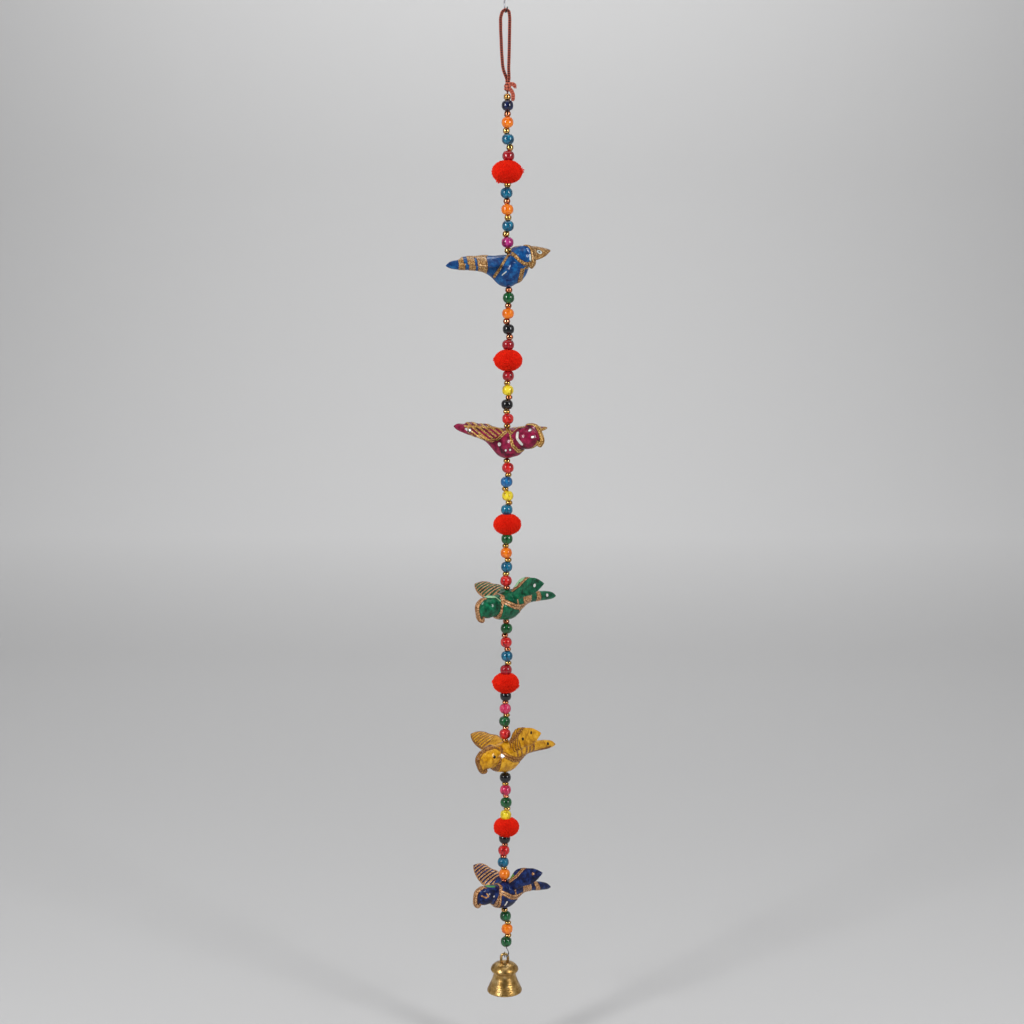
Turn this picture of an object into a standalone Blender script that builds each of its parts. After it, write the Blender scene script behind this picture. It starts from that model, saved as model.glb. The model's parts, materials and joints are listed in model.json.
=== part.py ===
"""Beaded string wall hanging: five painted birds, five pompoms and a brass bell on one thread.

Metres, +Z up, the front faces -Y.  The origin is at the top of the wire hook, where a nail or a
ceiling ring holds it, and the whole string hangs below it.  Sizes in the tables are millimetres.
"""

import math

import bmesh
import bpy
import numpy as np
from mathutils import Vector

MM = 0.001
GAP = 0.3                  # clearance between touching pieces

# Wire hook: a small eye, a shank, and a bend that passes under the hanging loop from the back
HOOK_WIRE = 1.2
HOOK_EYE_RADIUS = 2.4
HOOK_BEND_DEPTH = 40.45    # lowest point of the wire's centre line, below the origin
HOOK_BEND_RADIUS = 3.1

# Hanging loop: a doubled braided cord, widest a third of the way down
LOOP_CORD = 2.7
LOOP_TOP = 38.2            # centre line of the cord where it crosses the hook
LOOP_END = 97.5

# Knot and its two free ends
KNOT_TOP = 97.9
KNOT_BOTTOM = 107.0
KNOT_X = 2.7
TAIL_CORD = 2.8

# Wooden beads, spacers and the thread that carries them
BEAD_WIDTH = 10.7
BEAD_HEIGHT = 9.9
BORE = 2.7
THREAD = 2.0
SPACER_WIDTH = 6.4
FIRST_BEAD = 120.7         # centre of the first wooden bead below the origin

# Bell and clapper; profile heights are above the rim
BELL_X = -0.5
BELL_RIM = 945.9
BELL_LOOP_TOP = 908.6
BELL_LOOP_BAR = 2.6
LINK_WIRE = 0.9
CLAPPER_BAR = 1.6
CLAPPER_PIVOT = 22.4
CLAPPER_BALL = 3.6
CLAPPER_LENGTH = 14.5

# Colours as the eye sees them, sRGB
COLOURS = {
    "navy": (0.07, 0.09, 0.20), "orange": (0.88, 0.42, 0.06), "teal": (0.04, 0.36, 0.50),
    "crimson": (0.56, 0.06, 0.11), "magenta": (0.64, 0.17, 0.44), "green": (0.06, 0.35, 0.18),
    "black": (0.05, 0.05, 0.07), "yellow": (0.90, 0.80, 0.16), "red": (0.70, 0.12, 0.17),
    "blue": (0.06, 0.38, 0.62), "pink": (0.72, 0.22, 0.34), "gold": (0.72, 0.54, 0.27),
    "copper": (0.74, 0.42, 0.27), "pompom": (0.85, 0.14, 0.08), "cord": (0.56, 0.20, 0.15),
    "brass": (0.58, 0.45, 0.24), "steel": (0.22, 0.22, 0.24),
    "azure": (0.03, 0.25, 0.52), "plum": (0.40, 0.06, 0.18), "emerald": (0.04, 0.32, 0.20),
    "ochre": (0.74, 0.52, 0.12), "indigo": (0.05, 0.09, 0.30),
}

# One row for each run of wooden beads: the space that a spacer keeps between two beads, the bead
# colours, each bead's sideways place, the spacers above the beads and how far each leans, and,
# where a bird follows, the spacer under the last bead.
RUNS = (
    dict(space=4.75, beads=("navy", "orange", "teal", "crimson"), sway=(2.6, 2.6, 3.0, 3.3),
         spacers=("gold", "copper", "gold", "gold"), lean=(-0.2, 0.0, -1.2, 1.6), last=None),
    dict(space=4.65, beads=("teal", "orange", "teal", "magenta"), sway=(1.7, 2.4, 3.0, 2.6),
         spacers=("gold", "copper", "gold", "gold"), lean=(0.9, 0.0, 0.3, -1.6), last=("gold", 0.4)),
    dict(space=4.16, beads=("green", "orange", "black", "crimson"), sway=(3.5, 3.0, 3.4, 3.1),
         spacers=("copper", "copper", "copper", "copper"), lean=(0.2, 0.0, -1.5, 1.2), last=None),
    dict(space=3.12, beads=("crimson", "yellow", "black", "red"), sway=(3.2, 2.8, 2.1, 2.8),
         spacers=(None, "gold", "copper", "gold"), lean=(0.0, -0.8, 1.4, -0.7), last=("gold", -0.6)),
    dict(space=3.01, beads=("red", "blue", "yellow", "teal"), sway=(2.8, 1.6, 2.6, 1.8),
         spacers=("gold", "gold", "gold", "gold"), lean=(-1.0, 1.0, -1.6, 1.6), last=None),
    dict(space=3.17, beads=("green", "orange", "teal", "red"), sway=(2.0, 1.3, 1.7, 1.1),
         spacers=(None, "gold", "gold", "gold"), lean=(0.0, -0.9, 1.5, -0.4), last=("copper", 0.6)),
    dict(space=3.21, beads=("green", "red", "teal", "crimson"), sway=(1.5, 1.2, 1.8, 1.0),
         spacers=("copper", "copper", "copper", "gold"), lean=(-0.3, -1.4, 1.0, 1.6), last=None),
    dict(space=2.23, beads=("black", "pink", "green", "red"), sway=(0.7, 0.3, -0.3, 0.1),
         spacers=(None, "copper", "gold", "copper"), lean=(0.0, 0.0, 1.6, 0.9), last=("gold", 0.0)),
    dict(space=2.24, beads=("black", "pink", "green", "yellow"), sway=(0.3, 0.5, 1.0, 0.7),
         spacers=(None, "gold", "copper", "gold"), lean=(0.0, 0.0, 0.2, 1.2), last=None),
    dict(space=1.71, beads=("black", "red", "teal", "orange"), sway=(-0.4, -1.1, -1.7, -0.5),
         spacers=(None, "copper", "copper", "gold"), lean=(0.0, 0.7, 0.0, 0.2), last=("copper", -0.3)),
    dict(space=2.76, beads=("green", "orange", "green"), sway=(0.4, 1.9, 1.1),
         spacers=("gold", "gold", "gold"), lean=(-0.9, 1.6, 1.4), last=None),
)

# What sits between the runs, in order.  room is the height it takes up on the thread.
POMPOMS = (
    dict(room=17.85, width=28.1, height=21.0, sway=2.0),
    dict(room=18.10, width=26.3, height=20.0, sway=3.5),
    dict(room=17.05, width=26.1, height=19.6, sway=2.3),
    dict(room=14.90, width=25.1, height=19.6, sway=1.2),
    dict(room=13.00, width=24.5, height=18.6, sway=0.9),
)
# heading turns the bird about the thread, from facing +X, and lift raises it off its seat.  Its head
# has a place, a length and a height as shares of the mould's, and a dip; beak_turn rolls the beak
# round it.  Each wing has its rise, its sweep to the back and its twist (front edge down), in degrees.
BIRDS = (
    dict(colour="azure", room=30.65, sway=2.6, heading=-35, size=1.07, lift=0.3, head_forward=15.2,
         head_rise=10.4, head_long=0.81, head_tall=1.04, head_tilt=9, beak_turn=21,
         tail_rise=1.0, tail_turn=8.5, left=(11, -19, 39), right=(-1, 17, 26)),
    dict(colour="plum", room=28.80, sway=2.0, heading=-33, size=1.02, lift=0.7, head_forward=20.1,
         head_rise=5.1, head_long=1.16, head_tall=1.11, head_tilt=-1, beak_turn=32,
         tail_rise=8.8, tail_turn=-1.5, left=(2.5, -20, 5.5), right=(11, 19, 50)),
    dict(colour="emerald", room=28.40, sway=1.8, heading=220, size=1.02, lift=0.2, head_forward=20.9,
         head_rise=0.0, head_long=1.01, head_tall=1.05, head_tilt=22, beak_turn=-3,
         tail_rise=-2.4, tail_turn=0, left=(22, 3, 73), right=(3.5, 1, 30)),
    dict(colour="ochre", room=29.90, sway=0.1, heading=220, size=1.06, lift=0.7, head_forward=18.0,
         head_rise=2.4, head_long=1.0, head_tall=0.97, head_tilt=35, beak_turn=-16,
         tail_rise=-2.7, tail_turn=0, left=(28.5, 2.5, 84), right=(1, -1, 28)),
    dict(colour="indigo", room=27.20, sway=-0.7, heading=220, size=0.96, lift=0.9, head_forward=21.4,
         head_rise=3.7, head_long=1.13, head_tall=0.95, head_tilt=12, beak_turn=11,
         tail_rise=-9.5, tail_turn=-2, left=(29, 17, 71), right=(9, -2, 36)),
)

# The bird's trunk from the tail's tip to the chest: forward, belly, back, half width
TRUNK = np.array((
    (-59.0, 16.5, 17.5, 0.8), (-56.0, 15.2, 19.9, 2.4), (-48.0, 14.0, 22.2, 4.0),
    (-40.0, 13.8, 22.8, 5.0), (-30.0, 13.4, 24.4, 6.2), (-21.0, 11.8, 26.4, 7.8),
    (-13.0, 7.0, 26.4, 10.0), (-6.0, 1.2, 27.0, 11.4), (0.0, 0.0, 27.0, 12.0),
    (6.0, 0.8, 25.6, 12.0), (12.0, 2.0, 23.4, 10.7), (16.0, 5.6, 21.0, 8.0),
    (18.5, 9.6, 18.0, 4.4), (20.0, 13.0, 14.5, 0.8),
))
# Wings along their length: share of the length, front half chord, rear half chord, half thickness
RIGHT_WING = np.array((
    (0.0, 5.0, 5.0, 3.0), (0.15, 6.9, 6.0, 3.0), (0.35, 11.7, 8.2, 2.8), (0.55, 10.6, 6.9, 2.5),
    (0.75, 7.6, 7.2, 2.1), (0.9, 4.0, 5.0, 1.6), (1.0, 0.6, 0.6, 0.6),
))
LEFT_WING = np.array((
    (0.0, 4.0, 4.0, 3.0), (0.12, 5.0, 8.5, 3.0), (0.25, 5.5, 12.5, 2.8), (0.4, 5.5, 13.0, 2.6),
    (0.6, 6.2, 10.3, 2.3), (0.8, 4.6, 7.0, 1.9), (0.93, 2.0, 3.0, 1.3), (1.0, 0.5, 0.5, 0.5),
))
WING_ROOT = (-2.0, 5.0, 22.5)
WING_LENGTH = 44.5
HEAD_HALF = (12.0, 9.5, 9.3)
HEAD_HEIGHT = 14.5
# Crest and beak, a hook down the front of the head: ahead of and above the head's centre, then
# the half thickness and half width of the band
BEAK = np.array((
    (5.2, 6.0, 3.4, 4.0), (10.9, 2.4, 3.4, 3.6), (11.4, -4.0, 3.0, 3.3), (10.2, -8.8, 3.0, 2.8),
    (6.6, -11.7, 1.8, 1.4),
))

# Bell, outside from the crown down and inside back up: radius, height above the rim
BELL_OUTSIDE = (
    (3.6, 28.4), (7.0, 27.5), (9.6, 26.3), (11.6, 24.6), (12.8, 22.8), (12.95, 21.2), (12.5, 19.8),
    (11.0, 18.8), (10.5, 17.4), (10.7, 15.6), (11.6, 12.8), (12.6, 10.0), (13.6, 7.4), (14.6, 5.0),
    (15.9, 2.4), (16.5, 1.0), (16.4, 0.0),
)
BELL_INSIDE = (
    (15.0, 0.0), (14.2, 2.4), (12.9, 5.2), (11.5, 8.6), (10.0, 12.2), (8.7, 16.4), (9.4, 19.0),
    (10.4, 21.6), (8.6, 24.2), (4.5, 25.7),
)


def clear_scene():
    for old in list(bpy.data.objects):
        bpy.data.objects.remove(old, do_unlink=True)


def linear(value):
    """One sRGB channel as linear light."""
    return value / 12.92 if value <= 0.04045 else ((value + 0.055) / 1.055) ** 2.4


def material(name, colour, roughness=0.4, metallic=0.0):
    """The named Principled material, made once."""
    found = bpy.data.materials.get(name)
    if found:
        return found
    made = bpy.data.materials.new(name)
    made.use_nodes = True
    shader = made.node_tree.nodes["Principled BSDF"]
    shader.inputs["Base Color"].default_value = (*(linear(c) for c in COLOURS[colour]), 1.0)
    shader.inputs["Roughness"].default_value = roughness
    shader.inputs["Metallic"].default_value = metallic
    return made


def smooth_table(table, at):
    """Rows of a table read at any place of its first column, on a smooth curve through them."""
    keys = table[:, 0]
    slopes = np.gradient(table, keys, axis=0)
    at = np.clip(at, keys[0], keys[-1])
    low = np.clip(np.searchsorted(keys, at) - 1, 0, len(keys) - 2)
    width = (keys[low + 1] - keys[low])[:, None]
    t = ((at - keys[low]) / width[:, 0])[:, None]
    return ((2 * t**3 - 3 * t**2 + 1) * table[low] + (t**3 - 2 * t**2 + t) * width * slopes[low]
            + (3 * t**2 - 2 * t**3) * table[low + 1] + (t**3 - t**2) * width * slopes[low + 1])


def smooth_path(points, count):
    """count points at even spacing on a smooth curve through the given ones."""
    points = np.asarray(points, dtype=float)
    steps = np.linalg.norm(np.diff(points, axis=0), axis=1)
    keys = np.concatenate(([0.0], np.cumsum(steps)))
    return smooth_table(np.column_stack((keys, points)), np.linspace(0, keys[-1], count))[:, 1:]


def skin(rings, wrap=False):
    """Mesh over a stack of rings, in metres.  wrap joins the last ring to the first; otherwise
    both ends are closed."""
    mesh = bmesh.new()
    verts = [[mesh.verts.new(Vector(p) * MM) for p in ring] for ring in rings]
    sides = len(verts[0])
    pairs = list(zip(verts, verts[1:]))
    if wrap:
        pairs.append((verts[-1], verts[0]))
    for lower, upper in pairs:
        for i in range(sides):
            j = (i + 1) % sides
            mesh.faces.new((lower[i], lower[j], upper[j], upper[i]))
    if not wrap:
        mesh.faces.new(verts[0])
        mesh.faces.new(verts[-1])
    bmesh.ops.recalc_face_normals(mesh, faces=mesh.faces)
    return mesh


def circle(radius, z, sides, centre=(0.0, 0.0)):
    """A level ring of points."""
    turns = [2 * math.pi * (i + 0.5) / sides for i in range(sides)]
    return [(centre[0] + radius * math.cos(a), centre[1] + radius * math.sin(a), z) for a in turns]


def to_object(name, mesh, paint, location=(0.0, 0.0, 0.0), heading=0.0, crease=35.0):
    """Object from a bmesh, smooth shaded except where faces meet sharply."""
    data = bpy.data.meshes.new(name)
    mesh.to_mesh(data)
    mesh.free()
    data.shade_smooth()
    data.set_sharp_from_angle(angle=math.radians(crease))
    data.materials.append(paint)
    made = bpy.data.objects.new(name, data)
    made.location = Vector(location) * MM
    made.rotation_euler.z = math.radians(heading)
    bpy.context.scene.collection.objects.link(made)
    return made


def combine(base, others, operation):
    """Add or cut the other objects with exact Booleans, keep the result and drop the others."""
    for other in others:
        step = base.modifiers.new(other.name, "BOOLEAN")
        step.operation = operation
        step.solver = "EXACT"
        step.object = other
    bpy.context.view_layer.update()
    view = bpy.context.evaluated_depsgraph_get()
    data = bpy.data.meshes.new_from_object(base.evaluated_get(view))
    base.modifiers.clear()
    base.data = data
    data.shade_smooth()
    data.set_sharp_from_angle(angle=math.radians(35.0))
    for other in others:
        bpy.data.objects.remove(other, do_unlink=True)
    return base


def cord(name, points, diameter, paint, count, resolution=2):
    """A round cord or wire: a curve with a round bevel and filled ends."""
    path = smooth_path(points, count)
    data = bpy.data.curves.new(name, "CURVE")
    data.dimensions = "3D"
    data.bevel_depth = diameter / 2 * MM
    data.bevel_resolution = resolution
    data.use_fill_caps = True
    spline = data.splines.new("POLY")
    spline.points.add(len(path) - 1)
    spline.points.foreach_set("co", np.column_stack((path * MM, np.ones(len(path)))).ravel())
    spline.use_smooth = True
    data.materials.append(paint)
    made = bpy.data.objects.new(name, data)
    bpy.context.scene.collection.objects.link(made)
    return made


def make_hook():
    """Shank, then the bend that runs forward under the loop; the top is closed into a small eye."""
    top = -HOOK_EYE_RADIUS - HOOK_WIRE / 2
    turns = np.radians(np.arange(-75, 256, 30))
    eye = [(HOOK_EYE_RADIUS * math.cos(a), HOOK_BEND_RADIUS,
            top + HOOK_EYE_RADIUS * math.sin(a)) for a in turns]
    shank = [(0.0, HOOK_BEND_RADIUS, z) for z in (-9.0, -20.0, -32.0)]
    bend_centre = -HOOK_BEND_DEPTH + HOOK_BEND_RADIUS
    turns = np.radians(np.arange(0, 181, 22.5))
    bend = [(2.4 * i / (len(turns) - 1), HOOK_BEND_RADIUS * math.cos(a),
             bend_centre - HOOK_BEND_RADIUS * math.sin(a)) for i, a in enumerate(turns)]
    route = [*eye, *shank, (0.0, HOOK_BEND_RADIUS, bend_centre + 2.0), *bend,
             (2.5, -HOOK_BEND_RADIUS - 0.2, bend_centre + 1.2)]
    return cord("hook", route, HOOK_WIRE, material("steel wire", "steel", 0.35, 1.0), 52)


def make_hanging_loop():
    """The doubled cord, from the knot up over the hook and back down to the knot."""
    route = ((2.0, 1.5, -LOOP_END), (-0.9, 0.8, -90.0), (-2.3, 0.2, -78.0), (-3.0, 0.0, -64.0),
             (-3.4, 0.0, -52.0), (-3.0, 0.0, -43.5), (-1.3, 0.0, -39.5), (1.2, 0.0, -LOOP_TOP),
             (3.5, 0.0, -39.5), (4.4, 0.0, -43.5), (4.5, 0.0, -52.0), (4.3, 0.0, -64.0),
             (4.0, -0.2, -78.0), (3.7, -0.9, -90.0), (4.0, -1.7, -LOOP_END))
    return cord("hanging_loop", route, LOOP_CORD, material("braided cord", "cord", 0.85), 46)


def make_knot():
    """A tight lump of two passes of the cord, with its two free ends."""
    paint = material("knotted cord", "cord", 0.85)
    profile = ((1.2, 0.0), (2.5, 0.8), (3.2, 2.6), (2.7, 4.5), (3.0, 6.0), (2.3, 7.8), (1.2, 9.1))
    rings = [circle(r, -KNOT_TOP - d, 10, (KNOT_X, 0.0)) for r, d in profile]
    knot = to_object("knot", skin(rings), paint)
    curl = ((KNOT_X + 0.8, -1.0, -100.2), (KNOT_X + 3.6, -2.4, -100.6),
            (KNOT_X + 6.0, -2.8, -101.6), (KNOT_X + 6.4, -2.6, -103.4))
    tail = ((KNOT_X + 0.8, -0.6, -104.6), (KNOT_X + 2.9, -1.5, -106.8),
            (KNOT_X + 4.4, -2.0, -110.0), (KNOT_X + 4.6, -2.2, -114.8))
    ends = []
    for name, route in (("curled end", curl), ("hanging end", tail)):
        path = smooth_path(route, 7)
        along = np.gradient(path, axis=0)
        rings = []
        for i, (point, step) in enumerate(zip(path, along)):
            turn = Vector(step).to_track_quat("Z", "Y")
            radius = TAIL_CORD / 2 * (1.25 if i == len(path) - 1 else 1.0)
            rings.append([Vector(point) + turn @ Vector(p) for p in circle(radius, 0.0, 6)])
        ends.append(to_object(name, skin(rings), paint))
    return combine(knot, ends, "UNION")


def bead_mesh():
    """A bored bead: its round outside is read from the bore's edge to the other, the bore
    closes the ring."""
    edge = math.acos(BORE / BEAD_WIDTH)
    rings = []
    for angle in np.linspace(edge, -edge, 5):
        rings.append(circle(BEAD_WIDTH / 2 * math.cos(angle), BEAD_HEIGHT / 2 * math.sin(angle), 8))
    return skin(rings, wrap=True)


def make_bead(number, colour, x, z):
    paint = material("dyed wood " + colour, colour, 0.3)
    return to_object(f"wood_bead_{number:02d}", bead_mesh(), paint, (x, 0.0, z))


def spacer_rings(z, x, x_above, x_below, half):
    """Depth, place and radius of the rings over one spacer, from thread to thread."""
    wide = SPACER_WIDTH / 2
    return [(z - half, x_above, THREAD / 2), (z - half * 0.6, x, wide),
            (z + half * 0.6, x, wide), (z + half, x_below, THREAD / 2)]


def make_thread(rings):
    """The thread from the knot to the last bead, swelling into each spacer bead."""
    mesh = skin([circle(radius, -z, 8, (x, 0.0)) for z, x, radius in rings])
    return to_object("strung_thread", mesh, material("metallised spacers", "gold", 0.3, 1.0))


def make_pompom(number, row, z, thread_above, thread_below):
    """A ball of yarn: a core with five rows of twelve blunt locks, their roots fused."""
    core = 0.82
    wide, tall = row["width"] / 2, row["height"] / 2
    end = row["room"] / 2 - GAP
    rings = [circle(BORE / 2, end, 12, (thread_above - row["sway"], 0.0))]
    for degrees in (75, 45, 15, -15, -45, -75):
        a = math.radians(degrees)
        height = min(max(tall * core * math.sin(a), -end), end)
        rings.append(circle(wide * core * math.cos(a), height, 12))
    rings.append(circle(BORE / 2, -end, 12, (thread_below - row["sway"], 0.0)))
    mesh = skin(rings, wrap=True)
    mesh.faces.ensure_lookup_table()
    locks = [f for f in mesh.faces if 24 <= (f.index + 12) < 84]
    chance = np.random.default_rng(40 + number)
    grown = bmesh.ops.extrude_discrete_faces(mesh, faces=locks)["faces"]
    for face in grown:
        middle = face.calc_center_median()
        reach = chance.uniform(0.93, 1.03) / math.sqrt(
            (middle.x**2 + middle.y**2) / (wide * MM)**2 + (middle.z / (tall * MM))**2)
        for vert in face.verts:
            vert.co = middle * reach + (vert.co - middle) * 0.68
    paint = material("pompom yarn", "pompom", 0.95)
    return to_object(f"pompom_{number}", mesh, paint, (row["sway"], 0.0, z), crease=60.0)


def trunk_mesh(bird):
    """The body and tail: ellipses carried along from the tail's tip to the chest."""
    rows = smooth_table(TRUNK, TRUNK[:, 0])
    rings = []
    for forward, belly, back, half in rows:
        tail = min(max((-forward - 8.0) / 51.0, 0.0), 1.0)
        chest = min(max((forward - 2.0) / 20.0, 0.0), 1.0)
        lift = bird["tail_rise"] * tail**1.3 + bird["head_rise"] * 0.6 * chest
        turn = math.radians(bird["tail_turn"]) * min(max((-forward - 4.0) / 14.0, 0.0), 1.0)
        ring = []
        for a in np.linspace(0, 2 * math.pi, 10, endpoint=False):
            left = half * math.cos(a)
            up = (belly + back) / 2 + lift + (back - belly) / 2 * math.sin(a)
            ring.append((forward * math.cos(turn) - left * math.sin(turn),
                         forward * math.sin(turn) + left * math.cos(turn), up))
        rings.append(ring)
    return skin(rings)


def head_mesh(bird):
    """An egg with its long axis dipping towards the beak."""
    tilt = math.radians(bird["head_tilt"])
    long = HEAD_HALF[0] * bird["head_long"]
    wide, tall = HEAD_HALF[1] * bird["head_tall"], HEAD_HALF[2] * bird["head_tall"]
    rings = []
    for a in np.radians((172, 145, 115, 90, 65, 35, 8)):
        along = long * math.cos(a)
        ring = []
        for b in np.linspace(0, 2 * math.pi, 10, endpoint=False):
            up = tall * math.sin(a) * math.sin(b)
            ring.append((bird["head_forward"] + along * math.cos(tilt) + up * math.sin(tilt),
                         wide * math.sin(a) * math.cos(b),
                         HEAD_HEIGHT + bird["head_rise"] - along * math.sin(tilt)
                         + up * math.cos(tilt)))
        rings.append(ring)
    return skin(rings)


def beak_line(bird, count):
    """Places down the crest and beak, ahead of and above the bird's base, with the band's half
    thickness and half width: the mould's line rolled round the head and stretched with it."""
    steps = np.column_stack((np.linspace(0, 1, len(BEAK)), BEAK))
    ahead, above, thick, half = smooth_table(steps, np.linspace(0, 1, count))[:, 1:].T
    turn = math.radians(bird["beak_turn"])
    return (bird["head_forward"] + (ahead * math.cos(turn) - above * math.sin(turn)) * bird["head_long"],
            HEAD_HEIGHT + bird["head_rise"]
            + (ahead * math.sin(turn) + above * math.cos(turn)) * bird["head_tall"],
            thick * bird["head_long"], half)


def beak_mesh(bird):
    """The crest and hooked beak: flat ellipses square to that line."""
    ahead, above, thick, half = beak_line(bird, 7)
    along = np.column_stack((np.gradient(ahead), np.gradient(above)))
    rings = []
    for f, u, t, w, step in zip(ahead, above, thick, half, along):
        normal = np.array((-step[1], step[0])) / np.hypot(*step)
        rings.append([(f + normal[0] * t * math.sin(a), w * math.cos(a), u + normal[1] * t * math.sin(a))
                      for a in np.linspace(0, 2 * math.pi, 8, endpoint=False)])
    return skin(rings)


def wing_mesh(table, side, rise, sweep, twist):
    """A leaf with a lens section.  Its length runs out from the body, its chord front to back."""
    rise, sweep, twist = (math.radians(v) for v in (rise, sweep, twist))
    out = np.array((-math.sin(sweep) * math.cos(rise), side * math.cos(sweep) * math.cos(rise),
                    math.sin(rise)))
    chord = np.array((math.cos(twist), 0.0, -math.sin(twist)))
    chord -= out * (chord @ out)
    chord /= np.linalg.norm(chord)
    normal = np.cross(chord, out)
    root = np.array((WING_ROOT[0], side * WING_ROOT[1], WING_ROOT[2]))
    rings = []
    for share, front, rear, thick in smooth_table(table, np.array((0, 0.15, 0.3, 0.45, 0.6, 0.78,
                                                                   0.92, 1.0))):
        ring = []
        for a in np.linspace(0, 2 * math.pi, 8, endpoint=False):
            across = (front if math.cos(a) > 0 else rear) * math.cos(a)
            ring.append(root + share * WING_LENGTH * out + across * chord
                        + thick * math.sin(a) * normal)
        rings.append(ring)
    return skin(rings)


def make_bird(number, bird, z, thread_x):
    """One papier-mache bird, moulded in one piece and bored for the thread."""
    paint = material("lacquered papier mache " + bird["colour"], bird["colour"], 0.35)
    pieces = (trunk_mesh(bird), head_mesh(bird), beak_mesh(bird),
              wing_mesh(LEFT_WING, 1, *bird["left"]), wing_mesh(RIGHT_WING, -1, *bird["right"]))
    made = []
    for i, mesh in enumerate(pieces):
        bmesh.ops.scale(mesh, vec=Vector((1, 1, 1)) * bird["size"], verts=mesh.verts)
        made.append(to_object(f"bird_{number}" if i == 0 else f"bird part {i}", mesh, paint,
                              (bird["sway"], 0.0, z + bird["lift"]), bird["heading"]))
    body = combine(made[0], made[1:], "UNION")
    drill = skin([circle(BORE / 2, h, 8) for h in (-20.0, 60.0)])
    bore = to_object("drill", drill, paint, (thread_x, 0.0, z))
    return combine(body, [bore], "DIFFERENCE")


def turned(profile, sides, centre, base):
    """A turned solid with closed ends from (radius, height) pairs in order along its skin."""
    return skin([circle(r, base + h, sides, centre) for r, h in profile])


def ring_mesh(centre, half_wide, half_tall, bar, steps=14, sides=6, square=1.0):
    """An upright oval ring in the XZ plane; a square below 1 draws its sides out straight."""
    rings = []
    for a in np.linspace(0, 2 * math.pi, steps, endpoint=False):
        wide = math.copysign(abs(math.cos(a))**square, math.cos(a))
        tall = math.copysign(abs(math.sin(a))**square, math.sin(a))
        out = np.array((wide / half_wide, 0.0, tall / half_tall))
        out /= np.linalg.norm(out)
        middle = np.array((centre[0] + half_wide * wide, centre[1], centre[2] + half_tall * tall))
        rings.append([middle + bar / 2 * (math.cos(b) * out + math.sin(b) * np.array((0, 1, 0)))
                      for b in np.linspace(0, 2 * math.pi, sides, endpoint=False)])
    return skin(rings, wrap=True)


def make_bell():
    """Cast brass bell with a loop on its crown and a bar across the inside for the clapper."""
    paint = material("cast brass", "brass", 0.35, 1.0)
    centre = (BELL_X, 0.0)
    bell = to_object("bell", turned((*BELL_OUTSIDE, *BELL_INSIDE), 20, centre, -BELL_RIM), paint)
    half_tall = 4.3
    middle = -BELL_LOOP_TOP - BELL_LOOP_BAR / 2 - half_tall
    loop = to_object("crown loop", ring_mesh((BELL_X, 0.0, middle), 3.2, half_tall,
                                             BELL_LOOP_BAR, sides=8, square=0.7), paint)
    reach = 10.9
    bar_height = -BELL_RIM + CLAPPER_PIVOT
    turns = np.linspace(0, 2 * math.pi, 8, endpoint=False)
    bar_ends = [[(BELL_X + CLAPPER_BAR / 2 * math.cos(a), y,
                  bar_height + CLAPPER_BAR / 2 * math.sin(a)) for a in turns]
                for y in (-reach, reach)]
    bar = to_object("clapper bar", skin(bar_ends), paint)
    return combine(bell, [loop, bar], "UNION")


def make_clapper():
    """A cast drop with an eye that hangs on the bell's inner bar.  Its origin is on the bar."""
    paint = material("cast brass clapper", "brass", 0.5, 1.0)
    pivot = (BELL_X, 0.0, -BELL_RIM + CLAPPER_PIVOT)
    eye_bar = 1.3
    eye_inside = CLAPPER_BAR / 2 + GAP + 0.35
    eye_middle = eye_inside + eye_bar / 2
    drop = eye_inside - CLAPPER_BAR / 2 - GAP
    profile = [(0.75, -drop - eye_middle + 0.2), (0.8, -8.0), (1.1, -10.6)]
    for a in np.radians((55, 25, -5, -35, -65)):
        profile.append((CLAPPER_BALL * math.cos(a), -CLAPPER_LENGTH + CLAPPER_BALL * math.sin(a)))
    stem = to_object("clapper", turned(profile, 10, (0.0, 0.0), 0.0), paint, pivot)
    eye = to_object("clapper eye", ring_mesh((0.0, 0.0, -drop), eye_middle, eye_middle, eye_bar,
                                             12, 6), paint, pivot)
    return combine(stem, [eye], "UNION")


def make_link(x, top):
    """Bent wire from inside the last bead, round under the bell's loop and up behind it."""
    under = -BELL_LOOP_TOP - BELL_LOOP_BAR - GAP - LINK_WIRE / 2
    route = ((x, 0.0, top), (x, 0.0, top - 3.0), (x + 0.3, -0.3, top - 6.0),
             (x + 1.6, -1.2, top - 8.2), (x + 2.3, -2.1, top - 10.6), (x + 1.0, -2.5, under + 0.9),
             (BELL_X + 0.2, -1.9, under + 0.05), (BELL_X, -1.2, under), (BELL_X, 0.0, under),
             (BELL_X, 1.2, under), (BELL_X, 2.1, under + 0.6), (BELL_X, 2.5, under + 2.0),
             (BELL_X + 0.1, 2.4, under + 3.2))
    return cord("wire_link", route, LINK_WIRE, material("link wire", "steel", 0.4, 1.0), 30)


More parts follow.
